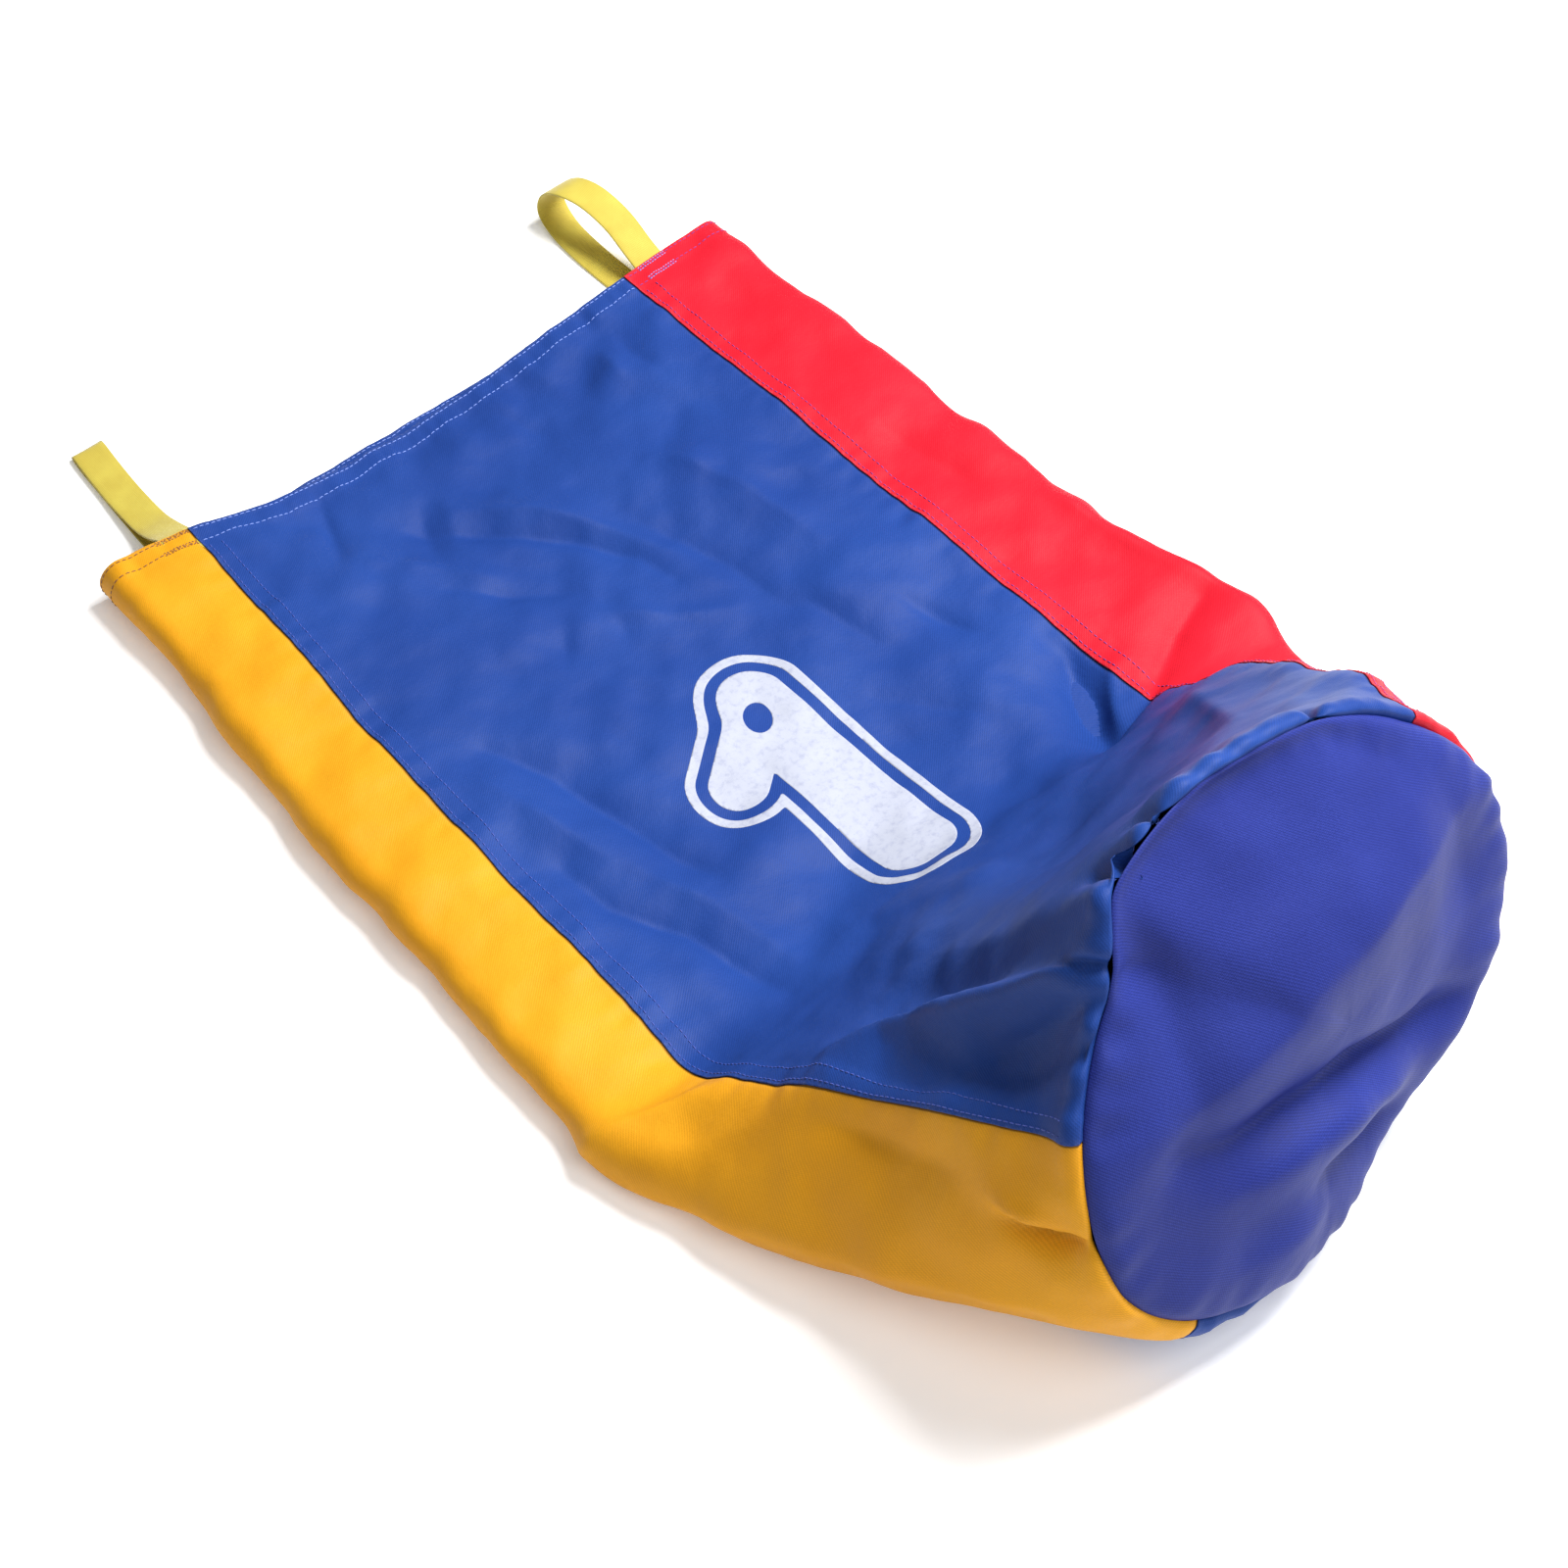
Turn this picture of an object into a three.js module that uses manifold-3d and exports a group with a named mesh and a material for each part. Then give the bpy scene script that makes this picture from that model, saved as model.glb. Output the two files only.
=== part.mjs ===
// A children's sack race bag: four sewn cloth panels, a round base and two webbing handle loops.
// It lies on its back panel with the mouth pressed flat at -X and the round base leaning at +X.
// Units are millimetres, +Z is up, +Y is towards the red side panel.
import * as THREE from "three";
import { mergeVertices } from "three/addons/utils/BufferGeometryUtils.js";
import Module from "manifold-3d";

// Cut sizes of the cloth.
const BASE_RADIUS = 142;
const FRONT_WIDTH = 322;
const SIDE_WIDTH = 142;
const GIRTH = 2 * (FRONT_WIDTH + SIDE_WIDTH);
const SEAM = FRONT_WIDTH / 2;
const FAR_SEAM = SEAM + SIDE_WIDTH;
const LENGTH = 712;
const CLOTH = 0.8;
const SEAM_GAP = 0.5;
const CONTACT_GAP = 0.4;

// How the sack lies: a flattened tube, then walls that rise to the leaning base.
const YELLOW_FOLD_HEIGHT = 26;
const RED_FOLD_HEIGHT = 15;
const MIDDLE_HEIGHT = 9.5;
const ROLL = -7;
const MOUTH_DRIFT = 4;
const TAIL_DRIFT = -6;
const MOUTH_GATHER = 0.965;
const TAIL_SPREAD = 1.06;
const BASE_X = 665;
const BASE_Y = 4;
const BASE_LEAN = THREE.MathUtils.degToRad(24);
const BASE_YAW = THREE.MathUtils.degToRad(4.5);
const BASE_SPIN = THREE.MathUtils.degToRad(-14);
const BASE_DOME = 14;
const RIM_DENT = 18;
const RIM_DENT_AT = THREE.MathUtils.degToRad(155);
const RIM_DENT_WIDTH = THREE.MathUtils.degToRad(30);
const FRONT_HOLLOW = 30;
const SIDE_BULGE = 22;
const SHOULDER = 18;
const FLOOR_SAG = 3.5;

// Distance from the mouth to the crease where the flat tube ends, around the girth from the
// middle of the front panel, and how far the crease is rounded either side of it.
const CREASE = [
  [-GIRTH / 2, 470],
  [-FAR_SEAM, 466],
  [-GIRTH / 4, 456],
  [-SEAM, 464],
  [0, 412],
  [SEAM, 422],
  [GIRTH / 4, 442],
  [FAR_SEAM, 468],
  [GIRTH / 2, 470],
];
const CREASE_ROUNDING = [
  [0, 60],
  [SEAM, 40],
  [GIRTH / 4, 18],
  [GIRTH / 2, 30],
];

// Sewing.
const HEM_DEPTH = 14;
const THREAD = 0.8;
const THREAD_HEIGHT = 0.4;
const EDGE_ROW = 3;
const TOPSTITCH_OFFSETS = [3, 10];
const BASE_SEAM_OFFSET = 12;
const SEAM_ROW_START = HEM_DEPTH + 3;

// Webbing handles.
const WEBBING_WIDTH = 20;
const WEBBING = 1.3;
const HANDLE_SEWN_LENGTH = 22;
const TACK_ROW = 8;

// Steps along the length, between the hem and the base seam, of the grid that the cloth shares.
const ROWS = 26;

const BLUE = new THREE.MeshStandardMaterial({ color: 0x2b4bb4, roughness: 0.62, metalness: 0 });
const BASE_BLUE = new THREE.MeshStandardMaterial({ color: 0x3340a8, roughness: 0.7, metalness: 0 });
const RED = new THREE.MeshStandardMaterial({ color: 0xe8303f, roughness: 0.62, metalness: 0 });
const YELLOW = new THREE.MeshStandardMaterial({ color: 0xf4b233, roughness: 0.62, metalness: 0 });
const LEMON = new THREE.MeshStandardMaterial({ color: 0xf0dc55, roughness: 0.8, metalness: 0 });
const INK = new THREE.MeshStandardMaterial({ color: 0xeaecf2, roughness: 0.55, metalness: 0 });
const BLUE_THREAD = new THREE.MeshStandardMaterial({ color: 0x8fa6e6, roughness: 0.75, metalness: 0 });
const DARK_THREAD = new THREE.MeshStandardMaterial({ color: 0x7a4a86, roughness: 0.75, metalness: 0 });

const wasm = await Module();
wasm.setup();

const sack = new THREE.Group();

function addMesh(name, geometry, material) {
  const mesh = new THREE.Mesh(geometry, material);
  mesh.name = name;
  sack.add(mesh);
}

// Value at x on a line through the knots [[x, value], ...].
function along(knots, x) {
  const last = knots.length - 1;
  const next = Math.max(1, knots.findIndex((knot, i) => i > 0 && (x <= knot[0] || i === last)));
  const [x0, v0] = knots[next - 1];
  const [x1, v1] = knots[next];
  return THREE.MathUtils.mapLinear(x, x0, x1, v0, v1);
}

// Girth coordinate wrapped to -GIRTH/2 .. GIRTH/2, with 0 on the middle of the front panel.
function wrapGirth(u) {
  return THREE.MathUtils.euclideanModulo(u + GIRTH / 2, GIRTH) - GIRTH / 2;
}

// A point of the flattened tube: flat sheets joined by a round fold on each side.
function tubePoint(girth, s) {
  const u = wrapGirth(girth + ROLL);
  const height = u < 0 ? YELLOW_FOLD_HEIGHT : RED_FOLD_HEIGHT;
  const side = Math.abs(u);
  const flat = (GIRTH - Math.PI * height) / 4;
  const fold = (Math.PI * height) / 2;
  let y = GIRTH / 2 - side;
  let z = 0;
  if (side < flat) {
    y = side;
    z = THREE.MathUtils.lerp(MIDDLE_HEIGHT, height, THREE.MathUtils.smoothstep(side, 0, flat));
  } else if (side < flat + fold) {
    const angle = (side - flat) / (height / 2);
    y = flat + (height / 2) * Math.sin(angle);
    z = (height / 2) * (1 + Math.cos(angle));
  }
  const spread = THREE.MathUtils.lerp(MOUTH_GATHER, TAIL_SPREAD, s / BASE_X);
  const drift = THREE.MathUtils.lerp(MOUTH_DRIFT, TAIL_DRIFT, s / BASE_X);
  return new THREE.Vector3(s, Math.sign(u) * y * spread + drift, z);
}

const baseCentre = new THREE.Vector3(BASE_X, BASE_Y, BASE_RADIUS * Math.cos(BASE_LEAN));
const baseNormal = new THREE.Vector3(
  Math.cos(BASE_LEAN) * Math.cos(BASE_YAW),
  Math.cos(BASE_LEAN) * Math.sin(BASE_YAW),
  Math.sin(BASE_LEAN),
);
const baseSide = new THREE.Vector3(-Math.sin(BASE_YAW), Math.cos(BASE_YAW), 0);
const baseUp = new THREE.Vector3().crossVectors(baseNormal, baseSide);

// Radius of the base at an angle from its top: the slack cloth is dented low on the red side.
function rimRadius(turn) {
  const away = THREE.MathUtils.euclideanModulo(turn - RIM_DENT_AT + Math.PI, 2 * Math.PI) - Math.PI;
  return BASE_RADIUS - RIM_DENT * Math.exp(-0.5 * (away / RIM_DENT_WIDTH) ** 2);
}

function rimPoint(girth) {
  const turn = BASE_SPIN + (2 * Math.PI * girth) / GIRTH;
  const radius = rimRadius(turn);
  return baseCentre
    .clone()
    .addScaledVector(baseUp, radius * Math.cos(turn))
    .addScaledVector(baseSide, radius * Math.sin(turn));
}

// A point of the wall between the crease and the base rim; t runs from 0 to 1.
function wallPoint(girth, t) {
  const u = wrapGirth(girth);
  const from = tubePoint(u, along(CREASE, u));
  const to = rimPoint(u);
  const point = new THREE.Vector3().lerpVectors(from, to, t);
  const low = THREE.MathUtils.smoothstep(Math.abs(u), SEAM, FAR_SEAM);
  const sag = Math.pow(t, 1 + FLOOR_SAG * low);
  point.z = THREE.MathUtils.lerp(from.z, to.z, sag);
  const swell = Math.sin(Math.PI * t);
  const front = Math.cos(Math.min(Math.abs(u) / SEAM, 1) * (Math.PI / 2));
  const shoulder = 1 - THREE.MathUtils.smoothstep(Math.abs(Math.abs(u) - SEAM), 0, SIDE_WIDTH / 2);
  point.z += (SHOULDER * shoulder - FRONT_HOLLOW * front) * swell;
  point.y += SIDE_BULGE * Math.sin((2 * Math.PI * u) / GIRTH) * swell;
  return point;
}

// A point of the outer cloth surface at girth coordinate u and distance s from the mouth.
function clothPoint(girth, s) {
  const u = wrapGirth(girth);
  const crease = along(CREASE, u);
  const wallLength = LENGTH - crease;
  const rounding = along(CREASE_ROUNDING, Math.abs(u));
  const start = crease - rounding;
  const end = crease + rounding;
  if (s <= start) return tubePoint(u, s);
  if (s >= end) return wallPoint(u, (s - crease) / wallLength);
  const q = (s - start) / (end - start);
  const a = tubePoint(u, start).lerp(tubePoint(u, crease), q);
  const b = tubePoint(u, crease).lerp(wallPoint(u, rounding / wallLength), q);
  return a.lerp(b, q);
}

// Evenly spaced values from start to end, both included.
function evenly(start, end, count) {
  return Array.from({ length: count + 1 }, (_, i) => THREE.MathUtils.lerp(start, end, i / count));
}

// Grid columns of each panel: its two seams, its rows of topstitching, and even steps between.
function panelColumns(start, width, steps, [stitchedNear, stitchedFar]) {
  const near = stitchedNear ? [start, start + TOPSTITCH_OFFSETS[0]] : [];
  const far = stitchedFar ? [start + width - TOPSTITCH_OFFSETS[0], start + width] : [];
  const from = start + (stitchedNear ? TOPSTITCH_OFFSETS[1] : 0);
  const to = start + width - (stitchedFar ? TOPSTITCH_OFFSETS[1] : 0);
  return [...near, ...evenly(from, to, steps), ...far];
}
const PANELS = [
  {
    name: "front",
    start: -SEAM,
    width: FRONT_WIDTH,
    steps: 12,
    lapped: [true, false],
    material: BLUE,
  },
  {
    name: "right_side",
    start: SEAM,
    width: SIDE_WIDTH,
    steps: 8,
    lapped: [true, false],
    material: RED,
  },
  {
    name: "back",
    start: FAR_SEAM,
    width: FRONT_WIDTH,
    steps: 12,
    lapped: [true, true],
    material: BLUE,
  },
  {
    name: "left_side",
    start: -FAR_SEAM,
    width: SIDE_WIDTH,
    steps: 8,
    lapped: [false, false],
    material: YELLOW,
  },
];
for (const panel of PANELS) panel.columns = panelColumns(panel.start, panel.width, panel.steps, panel.lapped);

// Columns and rows of the shared grid: seams and rows of stitching fall on grid lines.
const startOf = (u) => THREE.MathUtils.euclideanModulo(u + SEAM, GIRTH) - SEAM;
const columnPositions = PANELS.flatMap((panel) => panel.columns.slice(0, -1).map(startOf));
const COLUMNS = columnPositions.length;
const rowPositions = [
  0,
  EDGE_ROW,
  TACK_ROW,
  HEM_DEPTH,
  ...evenly(SEAM_ROW_START, LENGTH - 2 * BASE_SEAM_OFFSET, ROWS),
  LENGTH - BASE_SEAM_OFFSET,
  LENGTH,
];

const gridPoints = columnPositions.map((u) =>
  rowPositions.map((s) => clothPoint(u, s)),
);

function gridNormal(column, row) {
  const left = gridPoints[(column + COLUMNS - 1) % COLUMNS][row];
  const right = gridPoints[(column + 1) % COLUMNS][row];
  const back = gridPoints[column][Math.max(row - 1, 0)];
  const ahead = gridPoints[column][Math.min(row + 1, rowPositions.length - 1)];
  const across = new THREE.Vector3().subVectors(right, left);
  const forward = new THREE.Vector3().subVectors(ahead, back);
  return forward.cross(across).normalize();
}
const gridNormals = gridPoints.map((line, column) => line.map((_, row) => gridNormal(column, row)));

function blendGrid(grid, column, row, fu, fs) {
  const next = (column + 1) % COLUMNS;
  const a = grid[column][row].clone().lerp(grid[column][row + 1], fs);
  const b = grid[next][row].clone().lerp(grid[next][row + 1], fs);
  return a.lerp(b, fu);
}

// A point at a height over the outer cloth surface, with the cloth as flat grid facets.
function layerPoint(girth, s, height) {
  const first = columnPositions[0];
  const u = THREE.MathUtils.euclideanModulo(girth - first, GIRTH) + first;
  let column = columnPositions.findIndex((position) => position > u) - 1;
  if (column < 0) column = COLUMNS - 1;
  const start = columnPositions[column];
  const end = column + 1 < COLUMNS ? columnPositions[column + 1] : first + GIRTH;
  const lastRow = rowPositions.length - 2;
  const row = Math.min(rowPositions.findLastIndex((position) => position <= s), lastRow);
  const fu = (u - start) / (end - start);
  const fs = (s - rowPositions[row]) / (rowPositions[row + 1] - rowPositions[row]);
  const normal = blendGrid(gridNormals, column, row, fu, fs).normalize();
  return blendGrid(gridPoints, column, row, fu, fs).addScaledVector(normal, height);
}

// A closed patch of a layer over grid lines us (around) and ss (along), between two heights.
function patchGeometry(us, ss, [bottom, top]) {
  const geometry = new THREE.BoxGeometry(1, 1, 1, ss.length - 1, us.length - 1, 1);
  const position = geometry.attributes.position;
  for (let i = 0; i < position.count; i += 1) {
    const s = ss[Math.round((position.getX(i) + 0.5) * (ss.length - 1))];
    const u = us[Math.round((position.getY(i) + 0.5) * (us.length - 1))];
    const point = layerPoint(u, s, position.getZ(i) > 0 ? top : bottom);
    position.setXYZ(i, point.x, point.y, point.z);
  }
  geometry.computeVertexNormals();
  return geometry;
}

// Panels: each is the outer wall between two side seams, from the mouth to the base.
const wallRows = [...rowPositions.slice(0, -1), LENGTH - 3 * CLOTH];
for (const { name, start, width, columns, material } of PANELS) {
  const inside = columns.slice(1, -1);
  const across = [start + SEAM_GAP / 2, ...inside, start + width - SEAM_GAP / 2];
  addMesh(name + "_panel", patchGeometry(across, wallRows, [-CLOTH, 0]), material);
}

// Round base: a thin dome that covers the ends of the walls.
const DOME_RINGS = 5;
function makeBase() {
  const inner = [];
  const outer = [];
  for (let i = 0; i <= DOME_RINGS; i += 1) {
    const share = i / DOME_RINGS;
    const rise = BASE_DOME * (1 - share ** 2);
    inner.push(new THREE.Vector2(share, rise));
    outer.unshift(new THREE.Vector2(share, rise + CLOTH));
  }
  const dome = new THREE.LatheGeometry([...inner, ...outer], COLUMNS);
  const position = dome.attributes.position;
  for (let i = 0; i < position.count; i += 1) {
    const radius = rimRadius(Math.atan2(position.getZ(i), position.getX(i)));
    position.setXYZ(i, position.getX(i) * radius, position.getY(i), position.getZ(i) * radius);
  }
  const place = new THREE.Matrix4().makeBasis(baseUp, baseNormal, baseSide);
  place.setPosition(baseCentre.clone().addScaledVector(baseNormal, CONTACT_GAP));
  return dome.applyMatrix4(place);
}
addMesh("base_panel", makeBase(), BASE_BLUE);

// Rows of stitching, each one continuous lock-stitched thread. Outer rows lie on the cloth, and the
// rows of the back panel, on which the sack lies, are the same seams seen from inside the sack.
const OUTSIDE = [CONTACT_GAP, CONTACT_GAP + THREAD_HEIGHT];
const INSIDE = [-CLOTH - CONTACT_GAP - THREAD_HEIGHT, -CLOTH - CONTACT_GAP];
const SEAM_CLEARANCE = 1.5;

const aroundThread = (middle) => [middle - THREAD / 2, middle + THREAD / 2];

for (const { name, start, width, columns, lapped, material } of PANELS) {
  // The lower half of a side panel touches the floor, so its rows stay on the upper half.
  const isSide = width === SIDE_WIDTH;
  const from = isSide && start < 0 ? start + width / 2 : start;
  const to = isSide && start > 0 ? start + width / 2 : start + width;
  const inside = columns.filter((u) => u > from + SEAM_CLEARANCE && u < to - SEAM_CLEARANCE);
  const across = [from + SEAM_CLEARANCE, ...inside, to - SEAM_CLEARANCE];
  const heights = name === "back" ? INSIDE : OUTSIDE;
  const thread = material === BLUE ? BLUE_THREAD : DARK_THREAD;
  addMesh(name + "_hem_edge_stitching", patchGeometry(across, aroundThread(EDGE_ROW), heights), thread);
  addMesh(name + "_hem_fold_stitching", patchGeometry(across, aroundThread(HEM_DEPTH), heights), thread);
}

// Side seams: the panel that laps over carries two rows of topstitching.
const SIDE_SEAMS = [
  { name: "front_left", u: -SEAM, towards: 1, heights: OUTSIDE, material: BLUE_THREAD },
  { name: "front_right", u: SEAM, towards: 1, heights: OUTSIDE, material: DARK_THREAD },
  { name: "back_right", u: FAR_SEAM, towards: 1, heights: INSIDE, material: BLUE_THREAD },
  { name: "back_left", u: -FAR_SEAM, towards: -1, heights: INSIDE, material: BLUE_THREAD },
];
const ROW_NAMES = ["edge", "inner"];
const seamRows = rowPositions.filter((s) => s >= SEAM_ROW_START && s < LENGTH - BASE_SEAM_OFFSET);
for (const { name, u, towards, heights, material } of SIDE_SEAMS) {
  TOPSTITCH_OFFSETS.forEach((offset, i) => {
    const row = patchGeometry(aroundThread(u + towards * offset), seamRows, heights);
    addMesh(name + "_seam_" + ROW_NAMES[i] + "_stitching", row, material);
  });
}

// Base seam: one row inside the sack, all the way round except a short gap where it starts and ends.
const baseSeamColumns = [...columnPositions, columnPositions[0] + GIRTH - SEAM_CLEARANCE];
const baseSeamRow = aroundThread(LENGTH - BASE_SEAM_OFFSET);
addMesh("base_seam_stitching", patchGeometry(baseSeamColumns, baseSeamRow, INSIDE), BLUE_THREAD);

// Race number, printed as a thin film of ink: a digit with an oval hole, inside an outline ring.
const DIGIT_BAR = { top: 269, foot: 434, centre: -7, halfWidth: 23, corner: 17 };
const DIGIT_FLAG = { from: [297, -8], to: [329, -46], radius: 16 };
const DIGIT_HOLE = { centre: [302, -7], radii: [10, 8] };
const RING_INNER = 6.5;
const RING_OUTER = 12;

// The upright bar of the digit, grown outwards on every side.
function barShape(grow) {
  const { top, foot, centre, halfWidth, corner } = DIGIT_BAR;
  const radius = corner + grow;
  const [x0, x1] = [top - grow, foot + grow];
  const [y0, y1] = [centre - halfWidth - grow, centre + halfWidth + grow];
  const shape = new THREE.Shape();
  shape.moveTo(x0 + radius, y0);
  shape.absarc(x1 - radius, y0 + radius, radius, -Math.PI / 2, 0, false);
  shape.absarc(x1 - radius, y1 - radius, radius, 0, Math.PI / 2, false);
  shape.absarc(x0 + radius, y1 - radius, radius, Math.PI / 2, Math.PI, false);
  shape.absarc(x0 + radius, y0 + radius, radius, Math.PI, 1.5 * Math.PI, false);
  return shape;
}

// The slanted flag of the digit: a bar with round ends, grown outwards on every side.
function flagShape(grow) {
  const { from, to, radius } = DIGIT_FLAG;
  const angle = Math.atan2(to[1] - from[1], to[0] - from[0]);
  const shape = new THREE.Shape();
  shape.absarc(to[0], to[1], radius + grow, angle - Math.PI / 2, angle + Math.PI / 2, false);
  shape.absarc(from[0], from[1], radius + grow, angle + Math.PI / 2, angle + 1.5 * Math.PI, false);
  return shape;
}

function solid(geometry) {
  const plain = geometry.clone();
  plain.deleteAttribute("normal");
  plain.deleteAttribute("uv");
  const merged = mergeVertices(plain, 1e-4);
  const vertProperties = merged.attributes.position.array;
  const triVerts = new Uint32Array(merged.index.array);
  return new wasm.Manifold(new wasm.Mesh({ numProp: 3, vertProperties, triVerts }));
}

function geometryOf(manifold) {
  const mesh = manifold.getMesh();
  const geometry = new THREE.BufferGeometry();
  geometry.setAttribute("position", new THREE.BufferAttribute(mesh.vertProperties, 3));
  geometry.setIndex(new THREE.BufferAttribute(mesh.triVerts, 1));
  geometry.computeVertexNormals();
  return geometry;
}

const INK_HEIGHTS = [0.9, 1.2];
const PRINT_REACH = [240, 470];
const PRINT_HALF_WIDTH = 96;
const PRINT_DEPTH = 200;
const inkColumns = columnPositions.filter((u) => Math.abs(u) < PRINT_HALF_WIDTH);
const inkRows = rowPositions.filter((s) => s > PRINT_REACH[0] && s < PRINT_REACH[1]);
const inkFilm = solid(patchGeometry(inkColumns, inkRows, INK_HEIGHTS));

const PRINT_ARC_STEPS = 5;

function prism(shape) {
  const options = { depth: PRINT_DEPTH, bevelEnabled: false, curveSegments: PRINT_ARC_STEPS };
  return solid(new THREE.ExtrudeGeometry(shape, options));
}
const digitPrism = (grow) => prism(barShape(grow)).add(prism(flagShape(grow)));
const { centre: holeCentre, radii: holeRadii } = DIGIT_HOLE;
const holeShape = new THREE.Shape().absellipse(...holeCentre, ...holeRadii, 0, 2 * Math.PI, false);
const digit = digitPrism(0).subtract(prism(holeShape));
addMesh("number_fill", geometryOf(inkFilm.intersect(digit)), INK);
const ring = digitPrism(RING_OUTER).subtract(digitPrism(RING_INNER));
addMesh("number_outline", geometryOf(inkFilm.intersect(ring)), INK);

// Handles: each is a webbing strap whose ends are sewn inside the hem, one to the upper layer and
// one to the lower layer of the flattened mouth, with a loop that hangs free outside it.
function strapGeometry(route, centreY, segments) {
  const curve = new THREE.CatmullRomCurve3(route.map(([x, z]) => new THREE.Vector3(x, 0, z)));
  const geometry = new THREE.BoxGeometry(1, 1, 1, segments, 1, 1);
  const position = geometry.attributes.position;
  for (let i = 0; i < position.count; i += 1) {
    const t = position.getX(i) + 0.5;
    const point = curve.getPointAt(t);
    const tangent = curve.getTangentAt(t);
    const lift = position.getZ(i) * WEBBING;
    const y = centreY + position.getY(i) * WEBBING_WIDTH;
    position.setXYZ(i, point.x - tangent.z * lift, y, point.z + tangent.x * lift);
  }
  geometry.computeVertexNormals();
  return geometry;
}

const WEBBING_TOP = INSIDE[0] - CONTACT_GAP;
const WEBBING_HEIGHTS = [WEBBING_TOP - WEBBING, WEBBING_TOP];
const STRAP_SEGMENTS = 26;
const HANDLES = [
  {
    side: "left",
    sign: -1,
    fromMiddle: 172,
    route: [
      [-10, 15],
      [-24, 9.5],
      [-50, 8],
      [-76, 7.8],
      [-88, 7],
      [-92, 4.4],
      [-88, 1.6],
      [-76, 1],
      [-44, 1],
      [-16, 1],
    ],
  },
  {
    side: "right",
    sign: 1,
    fromMiddle: 164,
    route: [
      [-16, 16],
      [-34, 23],
      [-52, 27],
      [-67, 27],
      [-77, 22],
      [-81, 13],
      [-76, 4.6],
      [-64, 1.2],
      [-40, 1],
      [-14, 1],
    ],
  },
];
for (const { side, sign, fromMiddle, route } of HANDLES) {
  const half = WEBBING_WIDTH / 2;
  const u = sign * fromMiddle - ROLL;
  const lowerU = sign * (GIRTH / 2 - fromMiddle) - ROLL;
  const sewn = [CONTACT_GAP, HANDLE_SEWN_LENGTH];
  const upper = patchGeometry([u - half, u, u + half], sewn, WEBBING_HEIGHTS);
  const lower = patchGeometry([lowerU - half, lowerU, lowerU + half], sewn, WEBBING_HEIGHTS);
  addMesh(side + "_handle_upper_end", upper, LEMON);
  addMesh(side + "_handle_lower_end", lower, LEMON);
  const centre = layerPoint(u, 0, WEBBING_TOP - WEBBING / 2);
  const low = layerPoint(lowerU, 0, WEBBING_TOP - WEBBING / 2);
  const loop = [[-CONTACT_GAP, centre.z], ...route, [-CONTACT_GAP, low.z]];
  addMesh(side + "_handle_loop", strapGeometry(loop, centre.y, STRAP_SEGMENTS), LEMON);
  const tack = patchGeometry([u - half, u, u + half], aroundThread(TACK_ROW), OUTSIDE);
  addMesh(side + "_handle_tack", tack, DARK_THREAD);
}

// The origin is the middle of the footprint, on the floor.
const box = new THREE.Box3().setFromObject(sack);
const footprint = box.getCenter(new THREE.Vector3());
const part = new THREE.Group();
sack.position.set(-footprint.x, -footprint.y, -box.min.z);
part.add(sack);

export default part;
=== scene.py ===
"""Children's sack race bag lying on its back: four sewn cloth panels, a round base, a printed digit and two
webbing handle loops. The cloth is laid as the CAD solids lie and relaxed by the small solver below, and every
panel, seam, stitch and print is then laid on that one relaxed surface."""
import math

import bpy
import numpy as np
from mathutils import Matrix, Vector


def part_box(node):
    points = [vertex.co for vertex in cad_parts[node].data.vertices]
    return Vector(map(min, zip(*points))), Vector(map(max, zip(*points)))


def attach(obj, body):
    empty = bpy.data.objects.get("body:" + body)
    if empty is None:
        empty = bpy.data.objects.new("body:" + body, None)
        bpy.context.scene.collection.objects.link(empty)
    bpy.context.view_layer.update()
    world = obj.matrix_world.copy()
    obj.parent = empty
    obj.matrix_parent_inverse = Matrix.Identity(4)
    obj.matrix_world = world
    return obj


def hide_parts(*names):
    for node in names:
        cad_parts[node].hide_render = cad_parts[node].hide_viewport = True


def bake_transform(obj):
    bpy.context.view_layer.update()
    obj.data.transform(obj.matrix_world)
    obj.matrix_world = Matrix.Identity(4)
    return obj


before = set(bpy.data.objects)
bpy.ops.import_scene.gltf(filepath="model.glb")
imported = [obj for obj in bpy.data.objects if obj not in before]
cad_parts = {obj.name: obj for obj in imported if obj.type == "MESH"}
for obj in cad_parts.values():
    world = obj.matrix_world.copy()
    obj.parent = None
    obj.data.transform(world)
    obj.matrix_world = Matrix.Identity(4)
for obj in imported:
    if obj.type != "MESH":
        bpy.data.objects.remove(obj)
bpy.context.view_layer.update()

# Cut sizes, in millimetres. u runs round the girth from the middle of the front panel, s from the mouth.
FRONT_WIDTH = 322.0
SIDE_WIDTH = 142.0
GIRTH = 2 * (FRONT_WIDTH + SIDE_WIDTH)
LENGTH = 712.0
BASE_RADIUS = 142.0
SEAM = FRONT_WIDTH / 2
FAR_SEAM = SEAM + SIDE_WIDTH

# How the sack lies.
YELLOW_FOLD_HEIGHT = 26.0
RED_FOLD_HEIGHT = 15.0
MOUTH_MIDDLE_HEIGHT = 4.0
MIDDLE_HEIGHT = 9.5
MOUTH_EDGE = np.array([
    (-290, 0), (-232, -1), (-172, 4), (-120, 12), (-80, 11),
    (0, 6), (100, 0), (172, -3), (232, -5), (290, 0),
])
ROLL = -7.0
MOUTH_DRIFT = 4.0
TAIL_DRIFT = -6.0
MOUTH_GATHER = 0.965
TAIL_SPREAD = 1.06
BASE_X = 665.0
BASE_Y = 4.0
BASE_LEAN = math.radians(24)
BASE_YAW = math.radians(4.5)
BASE_SPIN = math.radians(-14)
FRONT_HOLLOW = 35.0
YELLOW_BULGE = 3.0
RED_BULGE = 20.0
YELLOW_SPREAD = 9.0
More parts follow.
